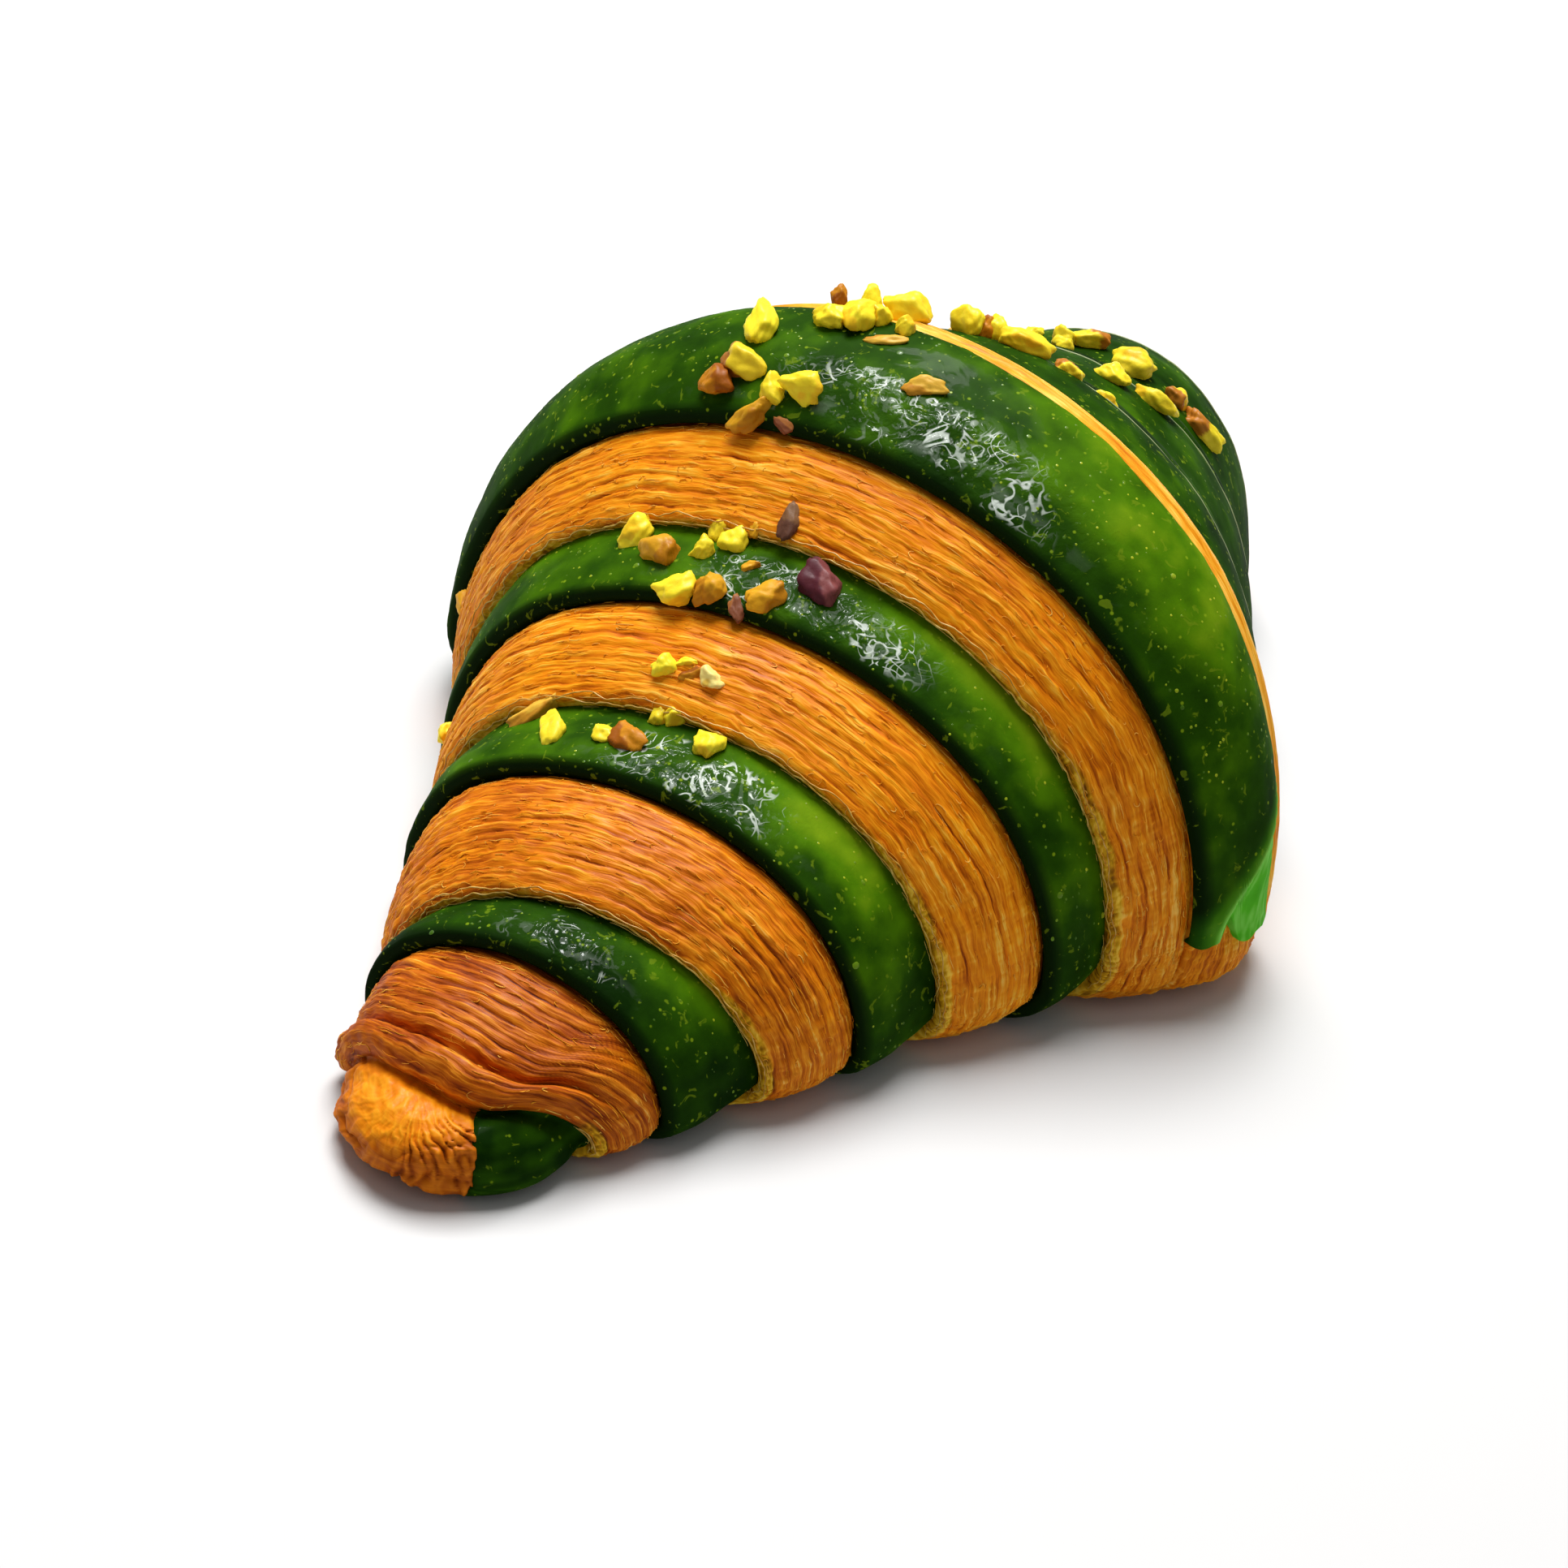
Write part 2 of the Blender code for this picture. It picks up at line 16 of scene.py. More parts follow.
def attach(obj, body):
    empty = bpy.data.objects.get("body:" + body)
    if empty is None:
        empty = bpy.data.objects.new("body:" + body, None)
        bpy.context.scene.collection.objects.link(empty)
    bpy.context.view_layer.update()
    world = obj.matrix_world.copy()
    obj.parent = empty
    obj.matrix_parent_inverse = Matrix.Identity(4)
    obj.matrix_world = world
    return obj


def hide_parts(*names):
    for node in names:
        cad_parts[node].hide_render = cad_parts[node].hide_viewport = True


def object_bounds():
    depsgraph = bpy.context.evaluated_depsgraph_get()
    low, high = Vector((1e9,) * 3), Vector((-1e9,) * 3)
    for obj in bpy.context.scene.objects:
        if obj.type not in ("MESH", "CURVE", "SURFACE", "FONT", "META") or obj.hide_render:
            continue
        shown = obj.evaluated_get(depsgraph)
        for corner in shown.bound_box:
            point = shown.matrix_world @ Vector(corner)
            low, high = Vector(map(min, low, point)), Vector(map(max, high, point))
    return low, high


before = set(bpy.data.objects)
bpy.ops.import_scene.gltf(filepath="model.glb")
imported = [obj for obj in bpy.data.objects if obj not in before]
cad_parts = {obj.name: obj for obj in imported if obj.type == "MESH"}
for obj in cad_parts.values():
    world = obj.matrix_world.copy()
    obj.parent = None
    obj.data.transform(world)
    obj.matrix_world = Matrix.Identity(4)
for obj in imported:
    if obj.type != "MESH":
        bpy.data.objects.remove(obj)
cad_low, cad_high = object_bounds()

MM = 0.001
NODE = "croissant"
ORIGIN = np.array([1.5, -0.083, 0.0])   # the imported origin, seen from the crest of the middle band
INSET = 0.02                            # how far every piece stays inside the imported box
SLOPE_STEP, SLOPE_TURN = 0.05, 0.01     # small steps along X and round the body, for slopes
CREST = np.array(math.pi / 2)           # angle of the crest

# The photograph's camera, in the hull's frame: rounded results of a least-squares fit to the photograph.
CAMERA_PLACE = (-291.79, -147.17, 209.54)
CAMERA_AZIMUTH, CAMERA_ELEVATION, CAMERA_ROLL = -62.31, 32.45, 7.74    # degrees
FOCAL_PIXELS, PHOTO_PIXELS, SENSOR = 5123.85, 1932, 36.0

# The smooth hull under the bands. X is measured from the crest of the middle band. From the same fit:
# the half widths at X -59 to 0, 39.5 and 57.5, the first height share, BELLY, ROUNDNESS, LEAN, CURL_FAR
# and FLOOR_SOFTNESS.
HALF_WIDTHS = ((-73.5, 7.5), (-59.0, 12.8), (-44.5, 19.9), (-28.5, 26.7), (-13.0, 35.7), (0.0, 43.0),
               (10.5, 38.5), (22.5, 32.0), (39.5, 24.5), (57.5, 18.7), (71.0, 13.7), (76.5, 12.0))
HEIGHT_SHARES = ((-73.5, 0.85), (0.0, 1.075), (7.0, 1.16), (25.0, 1.22), (76.5, 1.40))
NEAR_END, NEAR_ROUND, NEAR_TIP_HEIGHT = -73.5, -64.0, 3.4
FAR_END, FAR_ROUND, FAR_TIP_HEIGHT = 76.5, 62.0, 8.0
BELLY, SINK, ROUNDNESS, LEAN = 0.17, 0.165, 0.98, 1.6
CURL_NEAR, CURL_FAR = 0.1, 7.8
FLOOR_SOFTNESS, FLOOR_TRIM = 2.0, 0.25

# Edges of the bands: name, X at the crest, lean over half a turn. The first eight, far rim 3 and
# far rim 2 are from the fit.
EDGES = (("rim 1", -55.0, -1.6), ("end 1", -49.2, -8.0), ("rim 2", -38.1, -2.8), ("end 2", -30.3, -4.2),
         ("rim 3", -21.4, -4.2), ("end 3", -14.8, -2.4), ("rim 4", -7.5, -0.6), ("far side 4", 7.0, 5.3),
         ("far end 3", 17.0, 3.6), ("far rim 3", 25.3, 3.6), ("far end 2", 30.8, 3.4),
         ("far rim 2", 43.6, 3.2), ("far end 1", 47.8, 3.0), ("far rim 1", 63.5, 2.0))
EDGE_TURN = 0.995
LIP_EDGE = ((-90, -60.5), (0, -60.0), (30, -62.2), (45, -64.3), (58, -66.6), (80, -67.6), (110, -67.4),
            (140, -66.0), (180, -64.5), (230, -62.0), (270, -60.5))      # degrees, X
LIP_WIDTH, LIP_HEIGHT = 3.2, 1.0
LIP_CREASE, LIP_CREASE_WIDTH = 0.9, 0.5
LIP_FADES = ((-90, 0.0), (22, 0.0), (52, 1.0), (190, 1.0), (235, 0.0), (270, 0.0))   # degrees, share

# Relief over the hull, as (share of the band's width, height, shift along X).
DOUGH = ((0.0, -1.2, 0.0), (0.03, -0.3, -0.35), (0.12, 0.25, -0.1), (0.5, 0.6, 0.0), (0.85, 0.1, 0.0),
         (0.96, -0.5, 0.0), (1.0, -0.9, 0.2))
SKIN = ((0.0, -0.9, 0.2), (0.04, 0.15, -0.45), (0.13, 0.95, -0.3), (0.3, 0.8, 0.0), (0.7, -0.2, 0.0),
        (1.0, -1.2, 0.0))
MIDDLE_SKIN = ((0.0, -0.9, 0.2), (0.02, 0.15, -0.45), (0.06, 1.0, -0.3), (0.15, 0.85, 0.0),
               (0.5, 0.35, 0.0), (0.9, 0.2, 0.0), (1.0, 0.0, 0.0))
FAR_STEP = ((0.0, 0.0, 0.0), (0.06, 0.35, 0.0), (0.2, 0.3, 0.0), (0.28, 0.0, 0.0), (0.42, -1.2, 0.0),
            (0.75, -1.3, 0.0), (0.97, -1.0, 0.0), (1.0, -1.2, 0.0))
KNOB = ((0.0, 0.0, 0.0), (0.55, 0.45, 0.0), (0.85, -0.5, 0.0), (0.97, -1.6, 0.2), (1.0, -1.2, 0.0))
FAR_TIP = ((0.0, -0.9, -0.2), (0.06, 0.0, 0.1), (0.3, 0.5, 0.0), (1.0, 0.0, 0.0))
LUMPS = ((0.14, 0.16, 2, 0.7), (0.09, 0.31, -3, 2.1), (0.07, 0.07, 5, 4.0))   # height, per X, round, phase
SIDE_TUCK, SIDE_TUCK_FROM = 0.5, 0.7
TIP_FADE, TIP_CROWDING = 0.5, 1.6
TAIL_STEP, TAIL_BACK = 1.7, 208.0       # drop from the middle skin to the dough under it; its back end
BULGE, BULGE_ANGLE, BULGE_X = 2.8, -19.0, -2.0
BULGE_SPREAD, BULGE_LENGTH = 11.0, 9.0

# Outlines read off the photograph. The middle skin's tail: X, angle at which it ends; then its fold.
TAIL_END = ((-8.5, 3.0), (-7.6, 0.8), (-6.9, -1.6), (-5.8, -2.2), (-4.9, -1.0), (-4.2, 1.8), (-3.6, -0.5),
            (-2.8, -6.0), (-1.8, -7.2), (-0.6, -6.4), (1.5, -8.0), (9.0, -9.0))
TAIL_FOLD = ((-8.0, -5.6), (1.0, -5.2), (4.0, -4.4), (8.0, -1.8), (12.0, 1.4), (15.5, 4.2), (20.0, 8.5))
# The green patch on the knob: angle, X of its edge.
PATCH_EDGE = ((-62, -69.0), (-30, -70.2), (8, -70.2), (35, -69.6), (47, -68.9), (58, -67.8), (67, -66.5))

# Where the tip's pleats gather under the lip, two directions across the tip, degrees between pleats.
FAN_CENTRE = (-67.2, -0.3, 7.0)
FAN_RIGHT, FAN_DOWN = (0.524, -0.844, 0.114), (-0.408, -0.366, -0.836)
FAN_PLEAT = 8.5

# Meshes: pitches in millimetres across and along a band, or rows and columns.
PITCH, ROUND_PITCH, UNDER_PITCH = 0.12, 0.28, 0.16
FAR_PITCH, FAR_ROUND_PITCH = 0.20, 0.40
SKIN_PITCH, SKIN_ROUND_PITCH = 0.26, 0.38
THREAD_PITCH, CREASE_PITCH, FIBRE_PITCH = 0.22, 0.50, 0.25
KNOB_MESH, FAR_TIP_MESH, PATCH_MESH = (410, 84), (340, 74), (200, 44)
UNDER_ROWS = (60, 260)                  # rows of the dough under the tail, behind and in front
TOP_FROM, TOP_TO = -16.0, 196.0         # degrees of the finely meshed part
UV_SCALE = 0.1                          # band coordinates are in units of 10 mm

# Dough.
NEAR_DOUGH = (1, 3, 5, 7)               # the dough bands in plain view
LAYER = 1.05                            # thickness of one laminated layer
STRIP_WIDTH, STRIP_WIDER = 0.42, 0.50   # olive edge of thin layers at the start of a band; more, low down
FAR_LAP, FAR_LIFT = 0.9, 0.3            # how far the far strip laps over the middle skin, and its lift
UNDER_LAP, UNDER_TOP = 14.0, 24.0       # degrees that it runs on under the skin behind, and its top in front
KNOB_POLE_LOOK, FAR_POLE_LOOK = (0.45, 0.3, 0.1, 1.0), (0.5, 0.5, 0.0, 1.0)

# Green skin: tint of each band, width of the rim darkened as painted shade; middle and spread, in degrees, of
# the glossy zone with painted highlight lines and of the painted light.
SKIN_TINTS = {2: -0.20, 4: 0.05, 6: 0.10, 8: -0.05, 10: -0.08, 11: -0.20, 12: -0.10, 13: -0.20, 14: -0.12}
RIM_REACH = 3.4
SKIN_RINGS = (2, 4, 6, 10, 11, 12, 13, 14)                  # the skin bands that run all the way round
# How much painted light the lit side of a skin band gets, in the near half and the far half.
PAINTED_LIGHT_NEAR, PAINTED_LIGHT_FAR = 0.52, 0.12
PATCH_RISE = 0.22                       # how far the tip's green patch stands up
GLOSS_AND_HIGHLIGHT_ANGLES, PAINTED_LIGHT_ANGLES = (82.0, 19.0), (52.0, 24.0)
GLOSS_AND_HIGHLIGHT_END, MIDDLE_GLOSS_AND_HIGHLIGHT_END = (0.90, 0.6), (0.52, 0.32)     # shares over which the gloss and the painted highlights fade out

# Threads at a band's edge: offset, lift, radius, tone; creases: far band, share where the fold is.
EDGE_THREADS = ((-0.28, 0.00, 0.04, 0.95), (-0.08, 0.14, 0.08, 0.6), (0.22, 0.18, 0.07, 0.5))
LIP_THREADS_TO = 20.0                   # degrees at which the lip's threads end
CREASES, CREASE_RADIUS = ((10, 0.90), (12, 0.90), (14, 0.88)), 0.10
THREAD_SIDES, FIBRE_SIDES, DOME_SIDES = 5, 3, 8
FIBRE_COUNTS = (200, 480, 700, 1050)    # for each of the near dough bands
HOOKED_FIBRES = 0.45                    # share of them that curl
BLISTER_COUNTS = ((2, 90), (4, 150), (6, 190), (8, 480), (10, 90), (12, 80), (14, 60))
DOME_RINGS = ((1.0, -0.25), (0.8, 0.45), (0.42, 0.85))      # reach and rise of a blister's rings

# Chopped nuts: X, angle, length, width, thickness, turn, kind.
NUTS = (
    (0.9, 108.9, 5.4, 2.5, 2.2, 30, "yellow"), (-3.5, 107.9, 4.5, 2.9, 2.2, 80, "skinned"),
    (-5.2, 110.3, 3.4, 2.9, 1.9, 121, "brown"), (-5.4, 102.4, 3.1, 2.1, 1.7, 40, "yellow"),
    (-4.7, 99.0, 3.5, 2.7, 2.2, 92, "yellow"), (-6.9, 104.0, 4.4, 2.1, 1.6, 135, "gold"),
    (-6.9, 99.3, 2.3, 1.3, 0.8, 60, "flake"), (-1.2, 86.1, 3.6, 1.9, 1.3, 110, "tan"),
    (3.2, 101.9, 2.9, 2.3, 2.0, 116, "yellow"), (5.5, 103.0, 1.8, 1.4, 2.6, 20, "brown"),
    (4.2, 99.2, 3.4, 3.0, 2.6, 20, "yellow"), (7.0, 100.0, 2.7, 2.2, 3.0, 60, "yellow"),
    (5.4, 96.9, 2.1, 1.9, 1.9, 20, "yellow"), (4.9, 93.5, 1.9, 1.7, 1.8, 0, "yellow"),
    (2.7, 93.9, 3.5, 1.3, 0.9, 122, "tan"), (8.3, 95.6, 4.5, 2.8, 3.0, 112, "yellow"),
    (24.0, 99.0, 3.4, 1.9, 2.8, 75, "yellow"), (24.5, 95.6, 1.8, 1.5, 2.2, 60, "brown"),
    (25.0, 94.6, 2.4, 1.9, 3.0, 80, "yellow"), (24.0, 88.8, 4.7, 2.8, 2.4, 97, "yellow"),
    (24.3, 79.5, 3.0, 1.9, 1.6, 88, "skinned"), (24.5, 72.3, 2.6, 1.8, 1.5, 90, "yellow"),
    (39.0, 77.8, 3.4, 2.2, 1.9, 60, "yellow"), (40.5, 67.4, 3.9, 2.3, 1.9, 90, "yellow"),
    (43.4, 71.6, 2.0, 1.7, 1.5, 90, "yellow"), (52.0, 101.5, 2.0, 1.8, 2.2, 90, "yellow"),
    (47.5, 96.8, 2.0, 1.4, 1.6, 90, "yellow"), (53.5, 94.5, 3.7, 2.1, 2.0, 100, "skinned"),
    (44.0, 87.5, 2.4, 1.3, 1.1, 90, "tan"), (52.0, 79.5, 4.1, 3.0, 2.6, 90, "yellow"),
    (52.5, 64.5, 2.7, 2.2, 1.9, 80, "skinned"), (52.8, 53.2, 4.8, 2.5, 2.0, 90, "skinned"),
    (12.0, 118.0, 3.0, 2.4, 1.8, 40, "yellow"), (21.5, 112.0, 3.4, 2.6, 2.0, 10, "yellow"),
    (23.0, 128.0, 2.6, 2.2, 1.7, 80, "brown"), (39.0, 105.0, 3.0, 2.2, 1.7, 30, "yellow"),
    (41.0, 121.0, 2.6, 2.4, 1.8, 60, "gold"), (55.0, 114.0, 2.8, 2.0, 1.6, 20, "yellow"),
    (-16.6, 117.3, 3.1, 2.5, 1.9, 146, "yellow"), (-18.2, 110.0, 3.6, 3.2, 2.3, 70, "gold"),
    (-15.3, 103.7, 2.9, 1.9, 1.5, 5, "yellow"), (-15.9, 100.3, 3.1, 2.2, 1.7, 5, "yellow"),
    (-17.4, 103.7, 2.2, 2.1, 1.6, 0, "yellow"), (-21.0, 104.1, 3.1, 2.8, 1.9, 134, "yellow"),
    (-20.3, 98.5, 2.8, 2.6, 1.9, 20, "gold"), (-19.7, 90.2, 3.1, 2.4, 1.8, 117, "gold"),
    (-20.8, 93.6, 2.5, 1.2, 0.8, 40, "flake"), (-13.4, 93.0, 3.2, 1.7, 1.1, 15, "dark"),
    (-17.0, 84.3, 4.1, 3.0, 1.9, 58, "purple"), (-14.5, 97.5, 1.6, 0.9, 0.9, 10, "gold"),
    (-17.6, 95.0, 1.6, 0.9, 0.9, 130, "gold"), (-27.4, 99.7, 2.1, 1.8, 1.4, 80, "yellow"),
    (-26.4, 96.2, 1.9, 0.9, 0.9, 110, "yellow"), (-27.2, 94.6, 1.8, 1.2, 0.9, 130, "brown"),
    (-27.1, 91.0, 2.2, 1.8, 1.3, 70, "pale"), (-32.0, 127.0, 5.4, 1.9, 1.5, 122, "tan"),
    (-34.6, 117.4, 3.5, 2.1, 1.6, 16, "yellow"), (-34.5, 104.6, 1.9, 1.7, 1.2, 60, "yellow"),
    (-34.4, 98.6, 3.1, 2.3, 1.6, 62, "brown"), (-30.7, 97.6, 2.5, 1.7, 1.4, 20, "yellow"),
    (-30.4, 94.2, 2.5, 1.7, 1.8, 124, "yellow"), (-31.9, 84.9, 2.5, 2.4, 1.6, 40, "yellow"),
    (-26.5, 168.0, 2.6, 2.0, 1.5, 20, "yellow"), (-9.5, 172.0, 3.4, 1.5, 1.2, 10, "gold"))
# For each kind: colour of its flesh and of its husk, and how much of it the husk covers.
NUT_COLOURS = {
    "yellow": ((1.0, 0.79, 0.030), (0.95, 0.60, 0.02), 0.12),
    "pale": ((1.0, 0.82, 0.26), (0.90, 0.60, 0.10), 0.05),
    "skinned": ((1.0, 0.74, 0.03), (0.46, 0.17, 0.015), 0.42),
    "gold": ((0.74, 0.37, 0.015), (0.52, 0.21, 0.008), 0.35),
    "tan": ((0.80, 0.47, 0.05), (0.58, 0.26, 0.02), 0.35),
    "brown": ((0.56, 0.22, 0.008), (0.32, 0.09, 0.004), 0.45),
    "flake": ((0.40, 0.15, 0.04), (0.22, 0.07, 0.03), 0.5),
    "dark": ((0.22, 0.11, 0.05), (0.12, 0.05, 0.03), 0.5),
    "purple": ((0.22, 0.06, 0.06), (0.10, 0.02, 0.03), 0.5),
}
BROWN_KINDS = ("gold", "tan", "brown", "flake", "dark", "purple")
NUT_SINK = 0.5                          # how deep a nut sits
NUT_CUTS, NUT_DENTS, NUT_SOFTNESS = 12, 3, 24.0
NUT_SEED, FIBRE_SEED, BLISTER_SEED = 41, 941, 541

# Colours by tone, as (place, linear red, green, blue).
BLACK, WHITE = (0, 0, 0), (1, 1, 1)
CRIMP = 0.014                           # how much the crust's grain wavers
GOLDEN = ((0.0, (0.24, 0.035, 0.0005)), (0.3, (0.58, 0.125, 0.001)), (0.55, (0.82, 0.225, 0.002)),
          (0.8, (0.95, 0.35, 0.007)), (1.0, (1.0, 0.54, 0.05)))
BROWNED = ((0.0, (0.09, 0.010, 0.001)), (0.3, (0.33, 0.055, 0.002)), (0.6, (0.58, 0.14, 0.005)),
           (0.85, (0.80, 0.30, 0.02)), (1.0, (0.95, 0.56, 0.14)))
LIGHT = ((0.0, (0.30, 0.07, 0.001)), (0.3, (0.70, 0.22, 0.004)), (0.6, (0.92, 0.41, 0.02)),
         (0.85, (1.0, 0.56, 0.07)), (1.0, (1.0, 0.72, 0.18)))
OLIVE = ((0.0, (0.14, 0.050, 0.001)), (0.4, (0.46, 0.21, 0.003)), (0.7, (0.70, 0.38, 0.010)),
         (1.0, (0.92, 0.60, 0.06)))
GREEN = ((0.0, (0.004, 0.020, 0.0008)), (0.35, (0.017, 0.062, 0.0010)), (0.7, (0.066, 0.175, 0.0016)),
         (1.0, (0.16, 0.28, 0.005)))
RAW = ((0.0, (0.030, 0.24, 0.006)), (0.5, (0.09, 0.48, 0.018)), (1.0, (0.27, 0.72, 0.12)))
FLAKE_OLIVE = ((0.0, (0.16, 0.08, 0.004)), (0.5, (0.50, 0.30, 0.02)), (1.0, (0.80, 0.60, 0.12)))
FLAKE_GOLDEN = ((0.0, (0.28, 0.09, 0.008)), (0.5, (0.66, 0.29, 0.04)), (1.0, (0.92, 0.62, 0.22)))
CREASE_TONES = ((0.0, (0.03, 0.09, 0.004)), (0.6, (0.10, 0.18, 0.04)), (1.0, (0.42, 0.46, 0.24)))
BLISTER_TONES = ((0.0, (0.012, 0.04, 0.002)), (0.4, (0.05, 0.13, 0.003)), (0.7, (0.14, 0.26, 0.005)),
                 (1.0, (0.42, 0.48, 0.015)))
NUT_MOTTLE = ((0.3, (0.94, 0.88, 0.78)), (0.65, WHITE))

# Stage, in metres and watts. A lamp: direction in which it stands, distance, size, power.
SKY_STRENGTH = 0.25
OVERHEAD = ((0.31, 0.24, 0.91), 1.2, 0.75, 22.5)
GLEAM = ((0.45, 0.33, 0.83), 1.1, 0.20, 14.0)
FLOOR_COLOUR, FLOOR_HALF, FLOOR_GAP = (0.64, 0.635, 0.63, 1.0), 3.0, 0.00005
LAMP_TARGET = (0, 0, 0.02)


# ---------------------------------------------------------------- form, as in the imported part

def monotone(x, knots):
    """Smooth curve through (position, value) knots that never overshoots them."""
    at, value = np.array(knots, float).T
    gap = np.diff(at)
    slope = np.diff(value) / gap
    tangent = np.zeros(len(at))
    same_way = slope[:-1] * slope[1:] > 0
    weight_a = 2 * gap[1:] + gap[:-1]
    weight_b = gap[1:] + 2 * gap[:-1]
    safe_a = np.where(same_way, slope[:-1], 1.0)
    safe_b = np.where(same_way, slope[1:], 1.0)
    tangent[1:-1] = np.where(same_way, (weight_a + weight_b) / (weight_a / safe_a + weight_b / safe_b), 0.0)
    tangent[0], tangent[-1] = slope[0], slope[-1]
    x = np.clip(np.asarray(x, float), at[0], at[-1])
    i = np.clip(np.searchsorted(at, x, side="right") - 1, 0, len(at) - 2)
    t = (x - at[i]) / gap[i]
    start = value[i] * (1 + 2 * t) * (1 - t) ** 2 + tangent[i] * gap[i] * t * (1 - t) ** 2
    finish = value[i + 1] * t * t * (3 - 2 * t) + tangent[i + 1] * gap[i] * t * t * (t - 1)
    return start + finish


def smooth_step(x, low, high):
    t = np.clip((x - low) / (high - low), 0.0, 1.0)
    return t * t * (3 - 2 * t)


def bump_at(x, middle, spread):
    """1 at the middle, falling off over the spread."""
    return np.exp(-((x - middle) / spread) ** 2)


def wrap_degrees(angle):
    """Degrees from -90 (below) by way of the front and the crest to 270."""
    return (np.degrees(angle) + 90.0) % 360.0 - 90.0


def full_turn(count):
    return np.linspace(0, 2 * math.pi, count, endpoint=False)


def unit(vectors):
    """The same directions, at length 1."""
    return vectors / np.maximum(np.linalg.norm(vectors, axis=-1, keepdims=True), 1e-9)


def signed_power(value, power):
    return np.sign(value) * np.abs(value) ** power


def closing(x):
    """1 along the body, falling to 0 at both of its ends."""
    near = np.clip((NEAR_ROUND - x) / (NEAR_ROUND - NEAR_END), 0.0, 1.0)
    far = np.clip((x - FAR_ROUND) / (FAR_END - FAR_ROUND), 0.0, 1.0)
    return np.sqrt((1 - near ** 2) * (1 - far ** 2))


def hull(x, angle):
    """Points of the smooth body without bands, before its base is pressed flat."""
    x = np.clip(x, NEAR_END, FAR_END)
    width = monotone(x, HALF_WIDTHS)
    height = width * monotone(x, HEIGHT_SHARES)
    middle = BELLY * height
    rise = signed_power(np.sin(angle), ROUNDNESS)
    reach = np.where(rise > 0, height - middle, middle + SINK * width)
    tip = np.where(x < 0, NEAR_TIP_HEIGHT, FAR_TIP_HEIGHT)
    shrink = closing(x)
    along = np.where(x < 0, x / -NEAR_END, x / FAR_END)
    curl = np.where(x < 0, CURL_NEAR, CURL_FAR)
    y = LEAN * along + curl * along ** 2 - width * shrink * signed_power(np.cos(angle), ROUNDNESS)
    z = tip + (middle + rise * reach - tip) * shrink
    return np.stack(np.broadcast_arrays(x, y, z), -1)


def hull_normal(x, angle):
    inner = np.clip(x, NEAR_END + 2 * SLOPE_STEP, FAR_END - 2 * SLOPE_STEP)
    along = hull(inner + SLOPE_STEP, angle) - hull(inner - SLOPE_STEP, angle)
    around = hull(inner, angle + SLOPE_TURN) - hull(inner, angle - SLOPE_TURN)
    return unit(np.cross(along, around))


def lean(angle):
    return np.arcsin(EDGE_TURN * np.sin(angle - math.pi / 2)) / math.pi


def edge_x(edge, angle):
    """X of one band edge; 0 is the near tip, 1 the lip, then EDGES, then the far tip."""
    if edge == 0:
        return np.full_like(angle, NEAR_END)
    if edge == 1:
        return monotone(wrap_degrees(angle), LIP_EDGE)
    if edge == len(EDGES) + 2:
        return np.full_like(angle, FAR_END)
    name, crest, slant = EDGES[edge - 2]
    return crest + slant * lean(angle)


MIDDLE_BAND = 2 + [name for name, crest, slant in EDGES].index("rim 4")
LAST_BAND = len(EDGES) + 1
RELIEFS = {0: KNOB, MIDDLE_BAND: MIDDLE_SKIN, MIDDLE_BAND + 1: FAR_STEP, LAST_BAND: FAR_TIP}


def band_relief(band, share):
    """Height and shift along X of a band's relief; the plain bands of the far half are mirrored."""
    knots = RELIEFS.get(band, DOUGH if band % 2 else SKIN)
    mirrored = band > MIDDLE_BAND and band not in RELIEFS
    at = 1.0 - share if mirrored else share
    height, shift = (monotone(at, [(knot[0], knot[k]) for knot in knots]) for k in (1, 2))
    return height, -shift if mirrored else shift


def lip_relief(x, angle):
    beyond = x - edge_x(1, angle)
    fold = LIP_HEIGHT * np.sin(math.pi * np.clip(beyond / LIP_WIDTH, 0.0, 1.0))
    crease = LIP_CREASE * np.exp(-((beyond - LIP_WIDTH) / LIP_CREASE_WIDTH) ** 2)
    return (fold - crease) * np.interp(wrap_degrees(angle), *zip(*LIP_FADES))


def bulge_relief(x, angle):
    return BULGE * bump_at(wrap_degrees(angle), BULGE_ANGLE, BULGE_SPREAD) * bump_at(x, BULGE_X, BULGE_LENGTH)


def lumps(x, angle):
    return sum(high * np.sin(per_x * x + turns * angle + phase) for high, per_x, turns, phase in LUMPS)


def band_x(band, share, angle):
    """X at a share of a band, with the columns of a tip crowded at its pole."""
    start, stop = edge_x(band, angle), edge_x(band + 1, angle)
    if band == 0:
        return start + (stop - start) * np.maximum(share, 0.0) ** TIP_CROWDING
    if band == LAST_BAND:
        return stop - (stop - start) * np.maximum(1 - share, 0.0) ** TIP_CROWDING
    return start + share * (stop - start)


def surface(band, share, angle, extra=0.0):
    """Points of a band's surface with extra relief, at shares of its width and angles."""
    share, angle = np.broadcast_arrays(np.asarray(share, float), np.asarray(angle, float))
    x = band_x(band, share, angle)
    height, shift = band_relief(band, share)
    if band == 1:
        height = height + lip_relief(x, angle)
    tuck = SIDE_TUCK * smooth_step(np.abs(np.cos(angle)), SIDE_TUCK_FROM, 1.0)
    height = height + bulge_relief(x, angle) + lumps(x, angle) - tuck
    height = (height + extra) * smooth_step(closing(x), 0.0, TIP_FADE)
    points = hull(x + shift, angle) + hull_normal(x, angle) * height[..., None]
    z = points[..., 2]
    points[..., 2] = np.maximum(0.5 * (z + np.sqrt(z * z + FLOOR_SOFTNESS ** 2)) - FLOOR_TRIM, 0.0)
    return points


# ---------------------------------------------------------------- noise

